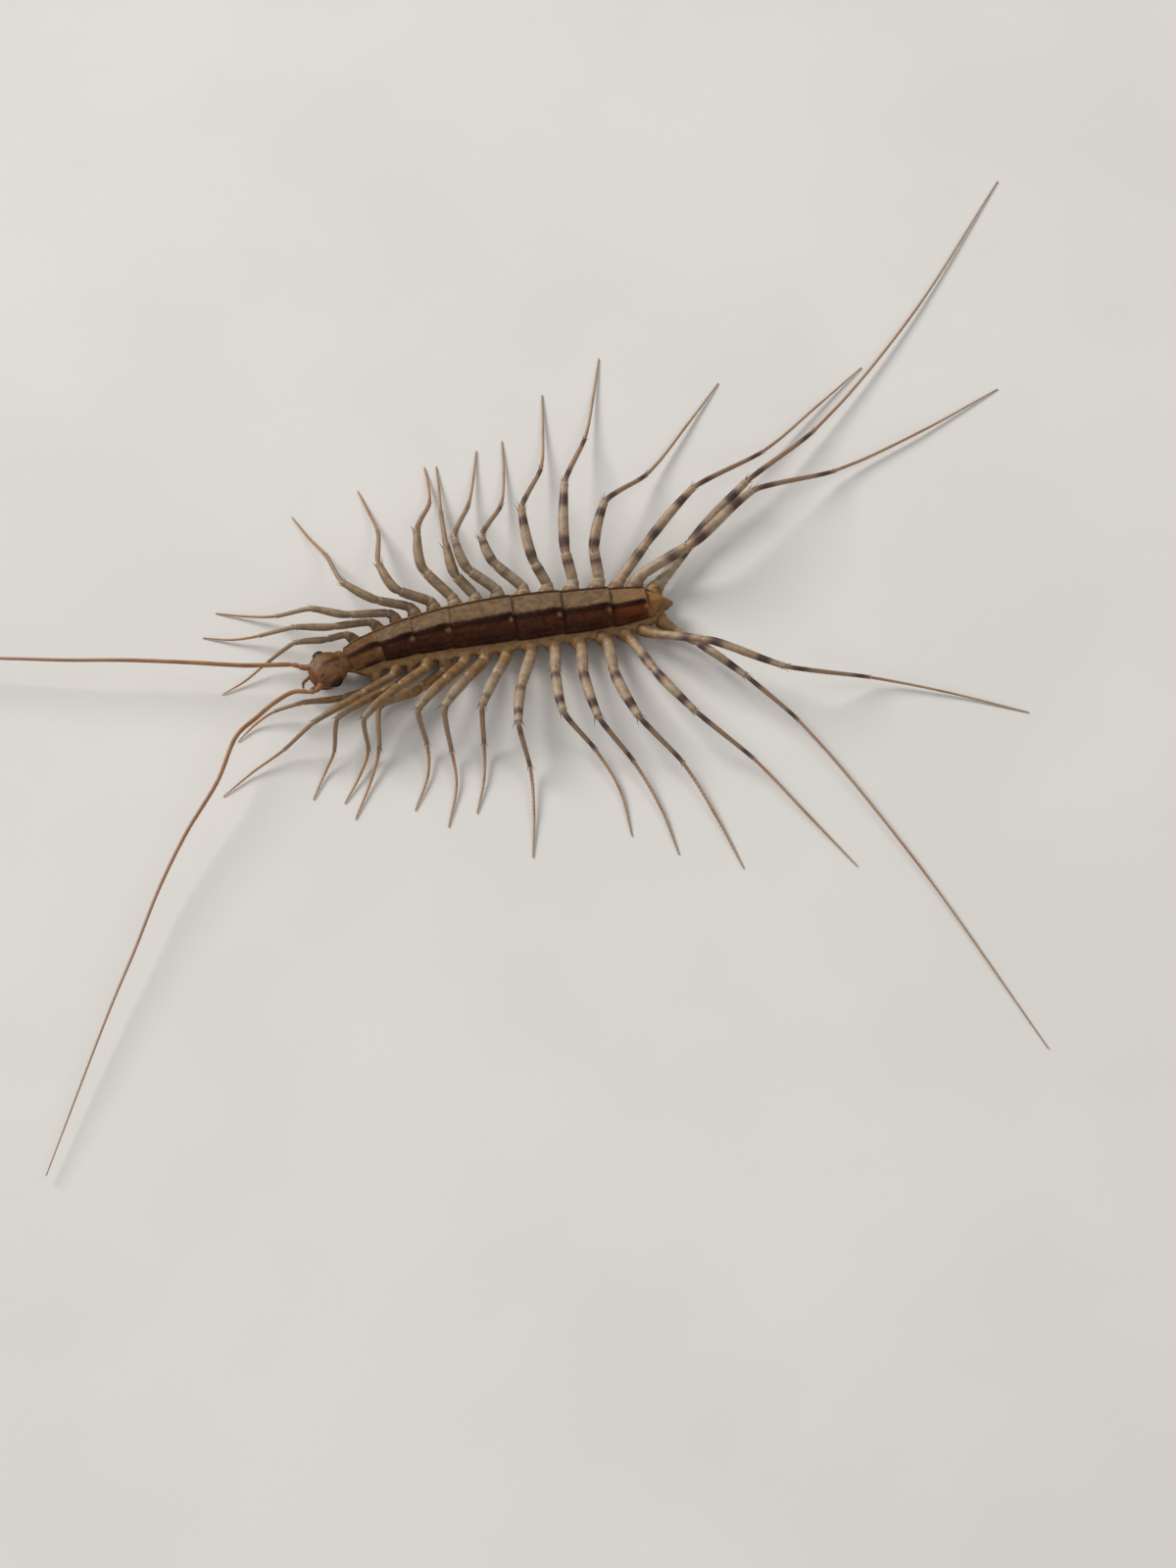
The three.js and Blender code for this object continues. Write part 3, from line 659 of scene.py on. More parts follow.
def antenna_paint():
    paint = Paint("antenna_shell", Subsurface_Weight=0.2, Subsurface_Scale=0.2 * MM)
    colour = paint.blotch((162, 116, 72), (140, 94, 54), 1.2)
    colour = paint.over(colour, "away", (168, 142, 118))
    colour = paint.mix(paint.times(paint.value("ring"), 0.45), colour, (104, 68, 40))
    colour = paint.over(colour, "hair", (120, 84, 54))
    return paint.finish(colour, paint.noise(0.1), 0.008, paint.gloss(0.45, 0.65, 0.5))


def leg_paint():
    paint = Paint("leg_shell", Specular_IOR_Level=0.35, Subsurface_Weight=0.2, Subsurface_Scale=0.3 * MM)
    colour = paint.blotch((164, 145, 122), (142, 121, 98), 0.7)
    olive = paint.blotch((146, 125, 100), (124, 103, 80), 0.7)
    colour = paint.over(colour, "front", olive)
    # Ochre of the flank at the hips, which runs further down the near legs' thighs as painted shade.
    hip = paint.blotch((140, 109, 72), (116, 87, 54), 0.6)
    colour = paint.over(colour, "hip", hip, 0.5, 0.3, 0.1, 0.9)
    colour = paint.over(colour, "shin", (143, 119, 96), 0.5, 0.2)
    foot = paint.mix(paint.value("front"), (157, 134, 106), (160, 122, 80))
    colour = paint.over(colour, "tarsus", foot, 0.5, 0.2)
    colour = paint.over(colour, "blush", (148, 96, 74))
    colour = paint.mix(paint.times(paint.value("joint"), 0.5), colour, (176, 152, 118))
    colour = paint.over(colour, "ring", (74, 54, 49), 0.3, 0.3, 0.1, 0.9)
    colour = paint.over(colour, "hair", (84, 60, 44))
    grain = paint.plus(paint.noise(0.12), paint.times(paint.noise(0.4), 0.8))
    return paint.finish(colour, grain, 0.014, paint.gloss(0.4, 0.62, 0.5))


def bristle_paint():
    paint = Paint("back_bristle")
    return paint.finish(paint.blotch((84, 58, 38), (48, 28, 18), 0.6), paint.noise(0.05), 0.004, 0.5)


# The trunk's middle line and widths

joints = [seen_at(NECK, HEAD["middle"]) * [1, 1, 0]]
for plate in PLATES:
    joints.append(joints[-1] + heading(plate["turn"]) * plate["share"] * TRUNK_LENGTH)


def beside_spine(span, side, height):
    """Points beside the middle line. Span counts plates from the neck, side is towards the right legs."""
    span, side, height = np.broadcast_arrays(*(np.asarray(x, float) for x in (span, side, height)))
    shape, last = span.shape, len(PLATES)
    side = side - np.interp(span, *zip(*SWAY))
    t = np.clip(span.ravel() / last, 0, 1)
    step = 1e-4
    along = unit(curve(joints, np.minimum(t + step, 1)) - curve(joints, np.maximum(t - step, 0)))
    points = curve(joints, t)
    past = span.ravel() - np.clip(span.ravel(), 0, last)
    ends = np.where(past < 0, PLATES[0]["share"], PLATES[-1]["share"]) * TRUNK_LENGTH
    points = points + along * (past * ends)[:, None]
    points = points + np.cross(UP, along) * side.reshape(-1, 1) + UP * height.reshape(-1, 1)
    return points.reshape(*shape, 3)


def back_width(span):
    widths = [*(plate["width"] for plate in PLATES), TAIL_WIDTH]
    return np.interp(span, range(len(widths)), widths)


def by_leg(sizes, number):
    """A size that goes from the first leg's through the middle leg's to the last one's."""
    first, middle, last = sizes
    return float(np.interp(number, (1, MIDDLE_LEG, LAST_LEG), (first, middle, last)))


# Trunk


def back_plate(index, material):
    """One back plate: arched, with a raised saddle and its slit near the rear edge, over the next plate.
    Gives the points of its upper side. u runs to its rear, and v from its left edge to its right one."""
    sizes = PLATES[index]
    length = sizes["share"] * TRUNK_LENGTH
    last = index == len(PLATES) - 1
    rows = max(PLATE_GRID["fewest"], round(length / PLATE_GRID["step"]))
    v = np.sin(np.linspace(-1, 1, PLATE_GRID["columns"]) * math.pi / 2)[None, :]
    u = (0.5 - 0.5 * np.cos(np.linspace(0, math.pi, rows)))[:, None]
    across, ends = np.abs(v), np.abs(2 * u - 1)
    ahead, behind = u * length, (1 - u) * length
    corner = PLATE["corner"] / length * across**5
    notch = PLATE["notch"] / length * (1 - v**2) * (0 if last else 1)
    start = index - PLATE["before"] / length + corner
    rear_corner = corner * (2.4 if last else 1)
    end = index + 1 + (0 if last else PLATE["overlap"]) / length - rear_corner - notch
    span = lerp(start, end, u)
    half = back_width(span) / 2 - table(span, NARROWER)
    half = half + PLATE["belly"] * np.cos(math.pi * (u - 0.5))
    half = half * (1 - TAPER * u**2) if last else half
    from_rear = behind - SADDLE["from_rear"]
    saddle, slit = (spot(from_rear, across * half, (0, 0), form["size"]) for form in (SADDLE, SLIT))
    arch = lerp(sizes["crown"], sizes["edge"], v**2) + PLATE["rise"] * (u - 0.5)
    arch = arch + SADDLE["height"] * saddle - SLIT["depth"] * slit
    for x, (at, width, high) in ((across, RIM), (across, GROOVE), (ahead, FRONT_LIP), (behind, REAR_LIP)):
        arch = arch + high * hump(x, at, width)
    arch = arch - ROUNDED * (smooth(0.95, 1, across) + smooth(0.93, 1, ends))
    thick = lerp(PLATE["thick"], PLATE["rim"], across) * lerp(1, 0.5, smooth(0.8, 1, ends))
    top = beside_spine(span, v * half, arch)
    bottom = beside_spine(span, v * half, arch - thick)
    behind_first = smooth(0.7, 1.2, span)
    stripes = []
    for form, core in ((STRIPE, 0.03), (NEAR_STRIPE, 0.02)):
        at, wide = lerp(*form["at"], behind_first), lerp(*form["wide"], behind_first)
        stripes.append(smooth(wide, core, np.abs(v - at)))
    open_ends = smooth(0.05, 0.3, ahead) * smooth(0.02, 0.2, behind)
    stripes[0] = stripes[0] * (0.75 + 0.25 * open_ends) * lerp(0.85, 1, smooth(0.2, 0.7, u))
    stripes[1] = stripes[1] * smooth(0.1, 0.4, span) * (0.35 + 0.4 * hump(u, 0.55, 0.3))
    dark = smooth(7.12, 6.9, span)  # no dark half on the last plate
    middle = STRIPE["at"][1]
    piece = Piece()
    slab(
        piece,
        top,
        bottom,
        stripe=np.maximum(*stripes) * dark,
        # the left half, darkened partly as painted shade
        near=smooth(middle + 0.04, middle - 0.08, v) * smooth(0.85, 1.15, span) * dark,
        tan=smooth(1.15, 0.85, span) + 0.8 * (1 - dark),
        edge=1.3 * hump(v, 0.94, 0.14) + 0.15 * hump(ahead, 0, 0.12),
        tail=smooth(4.6, 7.4, span) * 0.85,
        pale=0.9 * spot(from_rear, v * half, PALE["at"], PALE["size"]),
    )
    piece.make(f"back_plate_{index + 1}", material, "back_plate", f"trunk_{index + 1}")
    return top


def back_bristles(tops, material):
    """Short bristles that lean to the rear over all the plates, and a fringe along their side edges."""
    piece = Piece()
    for index, top in enumerate(tops):
        rows, columns = top.shape[:2]
        count = int(BRISTLES["back"] * PLATES[index]["share"] * TRUNK_LENGTH)
        i = draws.integers(1, rows - 2, count)
        j = draws.integers(2, columns - 3, count)
        fringe = np.arange(1, rows - 2, 2)
        i = np.concatenate([i, fringe, fringe])
        j = np.concatenate([j, np.full(len(fringe), 1), np.full(len(fringe), columns - 2)])
        roots = top[i, j]
        out = np.cross(top[i + 1, j] - roots, top[i, j + 1] - roots)
        out = unit(out) * np.sign(out[:, 2:])
        rear = unit(top[i + 1, j] - roots)
        away = np.sign(j - columns / 2)[:, None] * unit(np.cross(UP, rear))
        ways = out * 0.5 + rear + away * 0.35 + draws.normal(0, 0.15, roots.shape)
        long = draws.uniform(0.12, 0.24, len(roots))
        u = (index + i / rows) / len(tops)
        spikes(piece, roots, ways, long, thick=0.016, maps=(u * MAP_END, j / columns * MAP_END))
    piece.make("back_bristles", material, "back_plate")


def trunk_skin(material):
    """The soft sides and belly in one skin, from inside the neck to the tail end."""
    last = len(PLATES)
    tail = TELSON["length"] / (PLATES[-1]["share"] * TRUNK_LENGTH)
    neck, end = [-0.5, -0.42, -0.3, -0.15], last + np.linspace(0.1, 1, 12) * tail
    s = np.concatenate([neck, np.linspace(0, last, SKIN["rows"]), end])[:, None]
    sides = SKIN["sides"]
    turns = circle(sides)[None, :]
    out, high = np.sin(turns), np.cos(turns)
    inside = np.clip(s, 0, last)
    far = range(last + 1), lengths(np.array(joints))
    millimetres, hips = np.interp(inside, *far), np.interp(HIPS, *far)
    swelling = np.max([hump(millimetres, hip, SKIN["swell_length"]) for hip in hips], axis=0)
    past = np.clip((s - last) / tail, 0, 1)
    half = back_width(inside) * CORE["share"] * smooth(-0.9, 0.25, s)
    half = half * lerp(1, 0.78, smooth(last - 0.6, last, s)) * lerp(1, TELSON["narrow"], past**1.6)
    crown = np.interp(inside, np.arange(last) + 0.5, [plate["crown"] for plate in PLATES])
    roof = lerp(crown - CORE["back"], TELSON["middle"] + TELSON["above"], smooth(0, 1, past))
    floor = lerp(CORE["belly"], TELSON["middle"] - TELSON["below"], smooth(0, 1, past))
    floor = floor + 0.5 * smooth(0.15, -0.5, s)
    middle, tall = (roof + floor) / 2, (roof - floor) / 2
    low = smooth(0.35, -0.25, high)
    trunk_part = smooth(-0.1, 0.3, s) * smooth(last, last - 0.35, s)
    bulge = (SKIN["bulge"] + SKIN["swell"] * swelling) * back_width(inside) / PLATES[4]["width"]
    bulge = bulge * low * smooth(-1.02, -0.4, high) * trunk_part * np.where(out > 0, SKIN["far_side"], 1)
    crease = SKIN["crease"] * (1 - swelling) * low * trunk_part
    side = np.sign(out) * np.abs(out) ** 0.8 * (half + bulge - crease * np.abs(out))
    grid = beside_spine(s, side, middle + np.sign(high) * np.abs(high) ** 0.9 * tall)
    cap_maps = patch(np.tile(np.arange(sides) / sides * 0.9, 2), np.repeat([0.93, 0.96], sides), 3)
    piece = Piece()
    closed_rings(
        piece,
        grid,
        grid[[0, -1]].mean(1),
        [0.99, 0.9],
        cap_maps,
        flip=True,
        belly=smooth(-0.75, -0.95, high),
        # painted shade in the creases between the hips and under the plates' edges
        fold=(1 - swelling) * low * 0.6 * (1 - past) + 0.8 * smooth(0.2, 0.5, high) * (1 - past),
        tail=smooth(last - 0.9, last + 0.2, s),
    )
    nodes = [*(f"trunk_{i + 1}" for i in range(last)), "telson"]
    piece.make("trunk_skin", material, "back_plate", *nodes)


# Head

head_ahead = heading(180 + HEAD["yaw"])
head_right = np.cross(head_ahead, UP)
head_middle = joints[0] + head_ahead * (HEAD["gap"] + HEAD["length"] / 2) + UP * HEAD["middle"]


def on_head(place_on_it, side=1):
    ahead, beside, above = place_on_it
    return head_middle + head_ahead * ahead + head_right * beside * side + UP * above


def vectors(items, name):
    """A vector of each of a mesh's items, as rows."""
    rows = np.empty(len(items) * 3)
    items.foreach_get(name, rows)
    return rows.reshape(-1, 3)


def head_shell(material):
    """The head's shell, one surface over its brow, sockets, rims of the eyes and lip. Gives its points
    and the directions out from them."""
    lumps = [*HEAD_LUMPS]
    for side in (-1, 1):
        lumps += [((ahead, beside * side, above), size) for (ahead, beside, above), size in SIDE_LUMPS]
    turn = Matrix([[*head_ahead, 0], [*head_right, 0], [*UP, 0], [0, 0, 0, 1]]).transposed()
    ball = bmesh.new()
    for at, size in lumps:
        stretch = Matrix.Diagonal([*(x * MM / 2 for x in size), 1])
        put = Matrix.Translation(on_head(at) * MM) @ turn @ stretch
        bmesh.ops.create_icosphere(ball, subdivisions=4, radius=1, matrix=put)
    bmesh.ops.recalc_face_normals(ball, faces=ball.faces)
    mesh = bpy.data.meshes.new("head_lumps")
    ball.to_mesh(mesh)
    ball.free()
    rough = add_object("head_lumps", mesh)
    remesh = rough.modifiers.new("join", "REMESH")
    remesh.mode = "VOXEL"
    remesh.voxel_size = HEAD_VOXEL * MM
    soften = rough.modifiers.new("soften", "SMOOTH")
    soften.iterations = 14
    soften.factor = 0.5
    joined = rough.evaluated_get(bpy.context.evaluated_depsgraph_get())
    shell = bpy.data.meshes.new_from_object(joined)
    bpy.data.objects.remove(rough)
    points = vectors(shell.vertices, "co") / MM
    away = points - head_middle
    ahead, beside, above = away @ head_ahead, away @ head_right, away @ UP
    upper = smooth(-0.1, 0.25, above)
    arms = np.abs(beside) - 0.62 * smooth(-0.5, 1.0, ahead) - 0.05
    suture = hump(arms, 0, 0.045) * smooth(1.2, 0.8, ahead) * upper
    points -= UP * (0.025 * suture)[:, None]
    face = smooth(0.85, 1.1, ahead) * smooth(0.1, -0.1, above)
    shield = np.abs(np.hypot(beside / 0.62, (above + 0.25) / 0.42) - 1)
    lip_seam = hump(above, -0.6, 0.045) * smooth(0.62, 0.5, np.abs(beside))
    seams = np.maximum(hump(shield, 0, 0.11), lip_seam) * face
    points -= head_ahead * (0.07 * seams)[:, None]
    shell.vertices.foreach_set("co", (points * MM).ravel())
    on_a_side = np.abs(np.stack([ahead, beside, above], 1))
    from_eye = np.linalg.norm((on_a_side - EYE_RIM["at"]) / EYE_RIM["size"], axis=1)
    marks = sum(spot(ahead, beside, at, size) for at, size in HEAD_MARKS)
    brow = hump(ahead, 1.3, 0.16) * smooth(-0.3, 0.0, above)
    put_value(shell, "mark", np.clip(marks, 0, 1) * upper * 0.9)
    put_value(shell, "rim", np.clip(brow + 0.6 * smooth(-0.5, -0.75, above), 0, 1))
    put_value(shell, "orbit", smooth(1.2, 0.95, from_eye) * 0.6)
    put_value(shell, "groove", np.maximum(suture * 0.6, seams * 0.85))
    shell.shade_smooth()
    place("head_shell", shell, material, "head", "head")
    return points, vectors(shell.vertices, "normal")


def head_bristles(points, normals, material):
    """Short fine bristles scattered over the head, and a denser row along the lip."""
    ahead, above = (points - head_middle) @ head_ahead, (points - head_middle) @ UP
    top = draws.permutation(np.flatnonzero(above > -0.1))[: BRISTLES["head"]]
    lip = draws.permutation(np.flatnonzero((ahead > 1.1) & (above < -0.3)))[: BRISTLES["lip"]]
    rows = np.concatenate([top, lip])
    ways = normals[rows] + head_ahead * 0.6 + draws.normal(0, 0.15, (len(rows), 3))
    long = draws.uniform(0.08, 0.17, len(rows))
    spots = np.linspace(0, MAP_END, len(rows))
    piece = Piece()
    spikes(piece, points[rows], ways, long, thick=0.009, maps=(spots, spots))
    piece.make("head_bristles", material, "head")


def eye(suffix, side, material):
    """A compound eye: one domed lens at each point of a fine ball, with creases between them."""
    ball = bmesh.new()
    bmesh.ops.create_icosphere(ball, subdivisions=4, radius=1)
    ball.faces.ensure_lookup_table()
    creases = np.array([unit(f.calc_center_median()) for f in ball.faces]) * FACET["crease"]
    points = [*creases]
    faces = []
    for vertex in ball.verts:
        centre = unit(vertex.co)
        first = unit(np.cross(centre, [0.3, 0.5, 0.8]))
        second = np.cross(centre, first)
        around = sorted(
            (f.index for f in vertex.link_faces),
            key=lambda i: math.atan2((creases[i] - centre) @ second, (creases[i] - centre) @ first),
        )
        start = len(points)
        points += [unit(lerp(centre, creases[i], FACET["share"])) * FACET["rim"] for i in around]
        points.append(centre * FACET["top"])
        count = len(around)
        for a in range(count):
            b = (a + 1) % count
            faces += [(around[a], around[b], start + b), (around[a], start + b, start + a)]
            faces.append((start + a, start + b, start + count))
    ball.free()
    frame_rows = np.array([head_ahead, head_right * side, UP])
    put = on_head(EYE["at"], side) + np.array(points) * (np.array(EYE["size"]) / 2) @ frame_rows
    faces = np.array(faces) if side > 0 else np.array(faces)[:, ::-1]
    piece = Piece()
    spots = np.linspace(0, MAP_END, len(faces))
    piece.add(put, [faces], [patch(spots, spots, 3)])
    piece.make(f"eye_facets_{suffix}", material, "eye", f"eye_{suffix}")


def mouthparts(suffix, side, material):
    """A poison claw and a palp: segments along a smooth route, pinched at the joints, with bristles."""
    for part in MOUTHPARTS:
        fine = curve([on_head(p, side) for p in part["route"]], np.linspace(0, 1, 200))
        far = lengths(fine)
        long = far[-1]
        at = np.linspace(0, 1, round(long / part["step"]))
        points = resample(fine, far, at * long)
        radii = table(at, part["widths"])
        for joint in part["joints"]:
            radii = radii * (1 - 0.3 * hump(at * long, joint * long, part["joint_length"]))
        low, high, darkness = part["dark_tip"]
        piece = Piece()
        _, across, _ = tube(piece, points, radii, part["sides"], tip=darkness * smooth(low, high, at))
        count, longest, thick = part["bristles"]
        rows = draws.integers(1, len(points) - 2, count)
        along = unit(points[rows + 1] - points[rows])
        turns = draws.uniform(0, 2 * math.pi, count)[:, None]
        out = outward(turns, across[rows], np.cross(across[rows], along))
        roots = points[rows] + out * radii[rows][:, None] * 0.9
        hairs = draws.uniform(0.6, 1, count) * longest
        maps = (rows / len(points) * MAP_END, BRISTLE_MAP)
        spikes(piece, roots, out + along * 0.9, hairs, thick, maps, hair=1)
        piece.make(f"{part['name']}_{suffix}", material, "mouthpart", f"{part['node']}_{suffix}")


def antenna(suffix, side, seen, material):
    """A feeler of hundreds of short rings, thick at its root and as fine as a hair at its tip."""
    route = [on_head(p, side) for p in (ANTENNA_SUNK, ANTENNA_ROOT, ANTENNA_ELBOWS[side])]
    route += [seen_at(pixel, height) for pixel, height in seen]
    fine = curve(route, np.linspace(0, 1, 900))
    far = lengths(fine)
    long = far[-1]
    count = round(long / FEELER["ring"])
    edges = np.linspace(0, 1, count + 1) ** FEELER["lengthen"] * long
    s = (edges[:-1, None] + np.array(RING_AT) * np.diff(edges)[:, None]).ravel()
    u = s / long
    points = resample(fine, far, s)
    radius = table(u, FEELER_WIDTHS)
    pinch = 1 - 0.3 * sum(hump(s, at, FEELER["joint_length"]) for at in FEELER["joints"])
    shell = radius * np.tile(RING_WIDTHS, count) * pinch
    values = dict(away=smooth(0.12, 0.75, u), ring=np.tile(RING_DARK, count))
    piece = Piece()
    _, across, beside = tube(piece, points, shell, FEELER["sides"], **values)
    whorls = np.arange(14, len(s) - 2, len(RING_AT))
    along = unit(points[whorls + 1] - points[whorls])
    hairs = 0.11 + 0.06 * (1 - u[whorls])
    maps = (u[whorls] * MAP_END, BRISTLE_MAP)
    for turn in circle(5):
        turns = (turn + draws.uniform(-0.5, 0.5, len(whorls)))[:, None]
        out = outward(turns, across[whorls], beside[whorls])
        roots = points[whorls] + out * radius[whorls][:, None]
        ways = out + along * 1.3
        spikes(piece, roots, ways, hairs, thick=0.008, maps=maps, hair=0.8, away=u[whorls])
    nodes = [f"antenna_{suffix}_{i}" for i in (1, 2, 3)]
    piece.make(f"feeler_{suffix}", material, "antenna", *nodes)


# Legs


def leg_route(number, side, seen):
    """The joints of a leg, from the hip to the tip of the foot, after a root sunk in the flank."""
    span = HIPS[number - 1]
    widest = max(back_width(span - HIP["reach"]), back_width(span + HIP["reach"]))
    hip_side = widest * CORE["share"] + CORE["lobe"] + HIP["gap"]
    sunk = HIP_ROOT["last_sunk" if number == LAST_LEG else "sunk"]
    root, hip, shoulder = (
        beside_spine(span, side * (hip_side + out), HIP["height"] + up)
        for out, up in ((-sunk, HIP_ROOT["up"]), (0, 0), (HIP["out"], seen["rise"]))
    )
    along = unit(beside_spine(span + 0.01, 0, 0) - beside_spine(span - 0.01, 0, 0))
    shoulder = shoulder + along * by_leg(SWEEP, number)
    knee = seen_at(seen["knee"], by_leg(KNEE_HEIGHT, number) + seen["lift"])
    thigh = (shoulder + knee) / 2 + UP * seen["bow"]
    if seen["thigh"]:
        thigh = seen_at(seen["thigh"], thigh[2])
    return root, [hip, shoulder, thigh, knee, *(seen_at(seen[k], FOOT_HEIGHTS[k]) for k in FOOT_HEIGHTS)]


def hip_ochre_and_shade(number, side, t):
    """How far the ochre of the flank comes along a leg: less on the far side, all the thigh in front, where
    its longer reach on the near legs is painted shade.
    """
    if side > 0:
        return smooth(0.8, 0.2, t)
    reach = np.interp(number, (FAINT_LEGS - 2, FAINT_LEGS + 2), (3.0, 1.6))
    return smooth(reach, reach - 0.8, t)


def leg(number, suffix, side, seen, material):
    """One leg: coxa, trochanter, prefemur, femur and tibia with ridges and spines, and a ringed tarsus."""
    root, route = leg_route(number, side, seen)
    scale = table(number, GROWTH) * SLIM.get((suffix, number), 1)
    part = np.linspace(0, 1, LEG["fine"])
    fine_t = part * (len(route) - 1)
    fine = lerp(curve(route, part), straight(route, part), table(fine_t, STRAIGHT)[:, None])
    fine = np.vstack([np.linspace(root, route[0], 20, endpoint=False), fine])
    fine_t = np.concatenate([np.linspace(-1, 0, 20, endpoint=False), fine_t])
    far = lengths(fine)
    ankle_at = np.interp(TARSUS_FROM, fine_t, far)
    upper = np.linspace(0, ankle_at, round(ankle_at / LEG["step"]), endpoint=False)
    annuli = round((far[-1] - ankle_at) / ANNULUS["length"])
    lower = (np.arange(annuli)[:, None] + np.array(ANNULUS["at"])) * (far[-1] - ankle_at) / annuli
    s = np.concatenate([upper, ankle_at + lower.ravel(), far[-1:]])
    points = resample(fine, far, s)
    t = np.interp(s, far, fine_t)
    slim_hip, slim = lerp(1, scale, LEG["thin_hip"]), lerp(1, scale, LEG["thin"])
    radius = table(t, LEG_WIDTHS) * table(t, [(0.9, slim_hip), (1.3, scale), (2.95, scale), (3.05, slim)])
    for joint, pinch in LEG_JOINTS.items():
        at = np.interp(joint, fine_t, far)
        flare = JOINT["flare"] * hump(s, at - JOINT["flare_at"], JOINT["flare_length"])
        radius = radius * (1 - pinch * hump(s, at, JOINT["length"])) * (1 + pinch * flare)
    saw = np.concatenate([np.zeros(len(upper)), np.tile(ANNULUS["form"], annuli), [0]])
    radius = radius * (1 + ANNULUS["flare"] * saw)
    ridge = LEG["ridge"] * np.cos(LEG["ridges"] * circle(LEG["sides"]))[None, :]
    ridge = ridge * smooth(1.1, 1.3, t)[:, None] * smooth(4.0, 3.9, t)[:, None]
    pale_near = side < 0 and number <= LAST_NEAR_RINGS
    rings = humps(t, [(at, width, high * (near if pale_near else 1)) for at, width, high, near in RINGS])
    rings = rings * lerp(0.3, 1, smooth(FAINT_LEGS - 1, FAINT_LEGS + 4, number))
    piece = Piece()
    along, across, beside = tube(
        piece,
        points,
        radius[:, None] * (1 + ridge),
        LEG["sides"],
        ring=np.clip(rings, 0, 1),
        hip=hip_ochre_and_shade(number, side, t),
        front=smooth(FAINT_LEGS + 2, FAINT_LEGS - 2, number),
        shin=smooth(2.95, 3.08, t) * smooth(4.2, 3.9, t),
        tarsus=smooth(3.95, 4.3, t),
        joint=np.clip(humps(t, [(joint, 0.035, 1) for joint in LEG_JOINTS if joint > 1]), 0, 1),
        blush=humps(t, BLUSH) + humps(t, REAR_BLUSH) * smooth(8, 12, number),
    )

    def grow(rows, turns, long, lean, thick, hair=1.0):
        """Spines or hairs from some points of the leg, left out where they would reach the floor."""
        turns = np.asarray(turns, float)[:, None]
        out = outward(turns, across[rows], beside[rows])
        roots = points[rows] + out * radius[rows][:, None] * 0.92
        ways = unit(out + along[rows] * lean)
        above = roots[:, 2] + ways[:, 2] * long > FLOOR_GAP
        maps = ((s[rows] / s[-1] * MAP_END)[above], BRISTLE_MAP)
        spikes(piece, roots[above], ways[above], long[above], thick, maps, hair=hair)

    # Stout spines at the far end of each segment
    for joint, long, count in SPINES:
        row = np.searchsorted(s, np.interp(joint, fine_t, far) - 0.16)
        turns = circle(count) + draws.uniform(0, 1)
        long = long * scale * draws.uniform(0.7, 1.1, count)
        grow(np.full(count, row), turns, long, lean=2.2, thick=0.045 * scale)
    # Rows of short ones on the ridges
    ridged = np.flatnonzero((t > 1.2) & (t < 3.95))
    for ridge in range(LEG["ridges"]):
        rows = ridged[draws.integers(0, 3) :: 3]
        rows = rows[draws.uniform(size=len(rows)) < 0.75]
        turns = ridge * 2 * math.pi / LEG["ridges"] + draws.uniform(-0.1, 0.1, len(rows))
        grow(rows, turns, draws.uniform(0.1, 0.2, len(rows)), lean=1.5, thick=0.018)
    # Hairs under the tarsus and on its sides
    lower = np.flatnonzero(t > TARSUS_FROM + 0.02)[2:-2:4]
    for turn in (math.pi - 0.5, math.pi + 0.5, math.pi / 2, -math.pi / 2):
        rows = lower[draws.uniform(size=len(lower)) < 0.8]
        long = draws.uniform(0.12, 0.2, len(rows))
        grow(rows, np.full(len(rows), turn), long, lean=1.6, thick=0.012, hair=0.7)
    name = f"leg_{suffix}_{number:02d}"
    piece.make(f"{name}_shell", material, "leg", name)


# Everything together

plate_material = plate_paint()
tops = [back_plate(i, plate_material) for i in range(len(PLATES))]
bristle_material = bristle_paint()
back_bristles(tops, bristle_material)
trunk_skin(skin_paint())
head_points, head_normals = head_shell(head_paint())
head_bristles(head_points, head_normals, bristle_material)
eye_material = eye_paint()
mouth_material = mouth_paint()
antenna_material = antenna_paint()
leg_material = leg_paint()
for suffix, side in SIDES.items():
    eye(suffix, side, eye_material)
    mouthparts(suffix, side, mouth_material)
    antenna(suffix, side, RIGHT_ANTENNA if side > 0 else LEFT_ANTENNA, antenna_material)
    for i, seen in enumerate(RIGHT_LEGS if side > 0 else LEFT_LEGS):
        leg(i + 1, suffix, side, seen, leg_material)


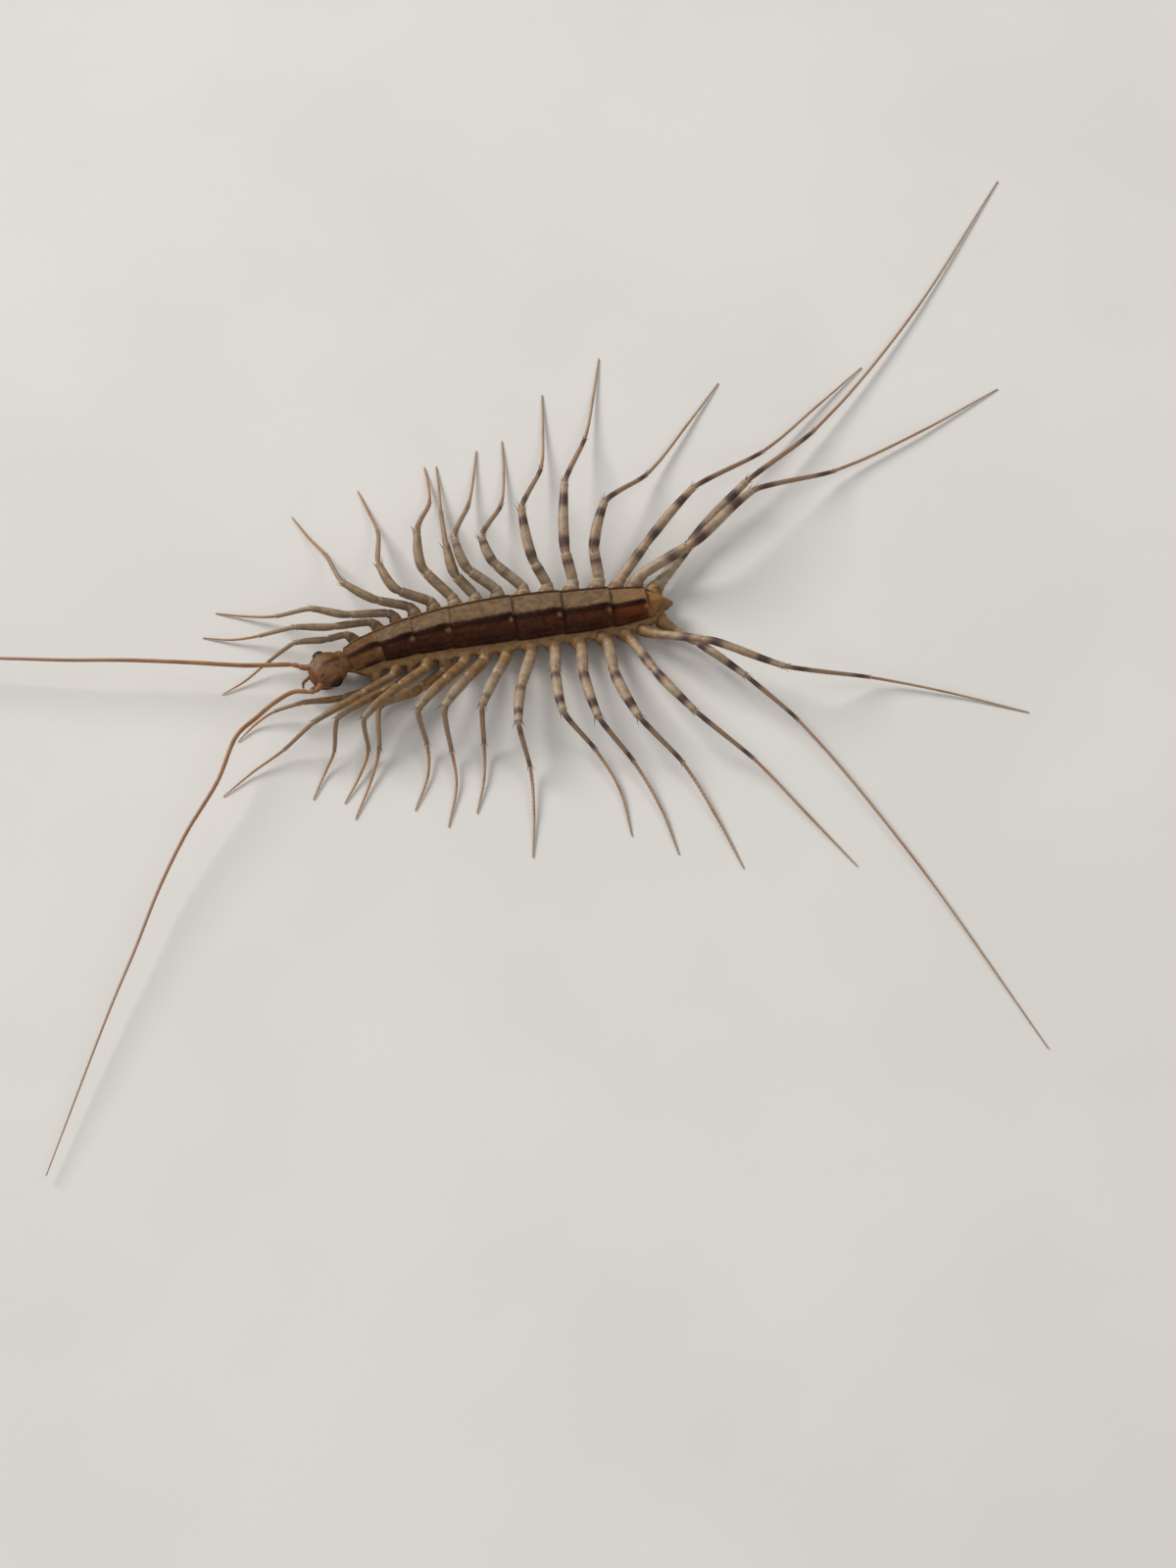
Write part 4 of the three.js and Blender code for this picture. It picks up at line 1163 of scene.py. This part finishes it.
# Floor, lights and camera

FLOOR_REACH = 1.5  # metres


def studio_floor():
    paint = Paint("pale_floor")
    colour = paint.blotch((217, 215, 212), (213, 211, 208), 30)
    mesh = bpy.data.meshes.new("studio_floor")
    corners = [(-1, -1), (1, -1), (1, 1), (-1, 1)]
    mesh.from_pydata([(x * FLOOR_REACH, y * FLOOR_REACH, 0) for x, y in corners], [], [(0, 1, 2, 3)])
    mesh.materials.append(paint.finish(colour, paint.noise(0.8), 0.01, 0.85))
    add_object("studio_floor", mesh)


def soft_light(name, direction, tint, distance, size, power):
    data = bpy.data.lights.new(name, "AREA")
    data.shape = "DISK"
    data.size = size
    data.energy = power
    data.color = tint
    lamp = add_object(name, data)
    way = unit(direction)
    middle = np.array([VIEW["aim"][0], VIEW["aim"][1] + 10, 0]) * MM
    lamp.location = middle + way * distance
    lamp.rotation_mode = "QUATERNION"
    lamp.rotation_quaternion = Vector(way).to_track_quat("Z", "Y")


def studio_camera():
    right, up, back, at = camera_axes()
    data = bpy.data.cameras.new("camera")
    data.sensor_width = 36
    data.lens = data.sensor_width * PHOTO["focal"] / PHOTO["high"]
    data.clip_start = 0.01
    data.clip_end = 10
    made = add_object("camera", data)
    made.matrix_world = Matrix([*([right[i], up[i], back[i], at[i] * MM] for i in range(3)), [0, 0, 0, 1]])
    bpy.context.scene.camera = made


studio_floor()
soft_light("key", (-0.6, 0.65, 0.6), (1.0, 0.97, 0.94), distance=1.0, size=0.5, power=9.6)
soft_light("fill", (0.7, 0.1, 0.9), (1.0, 0.99, 0.97), distance=0.7, size=0.5, power=0.9)
soft_light("near", (-0.1, -0.9, 0.55), (1.0, 0.98, 0.96), distance=0.6, size=0.4, power=0.5)
world = bpy.data.worlds.new("studio")
bpy.context.scene.world = world
world.use_nodes = True
background = world.node_tree.nodes["Background"].inputs
background["Color"].default_value = (1.0, 0.98, 0.95, 1.0)
background["Strength"].default_value = 0.3
bpy.context.scene.view_settings.view_transform = "Standard"
studio_camera()
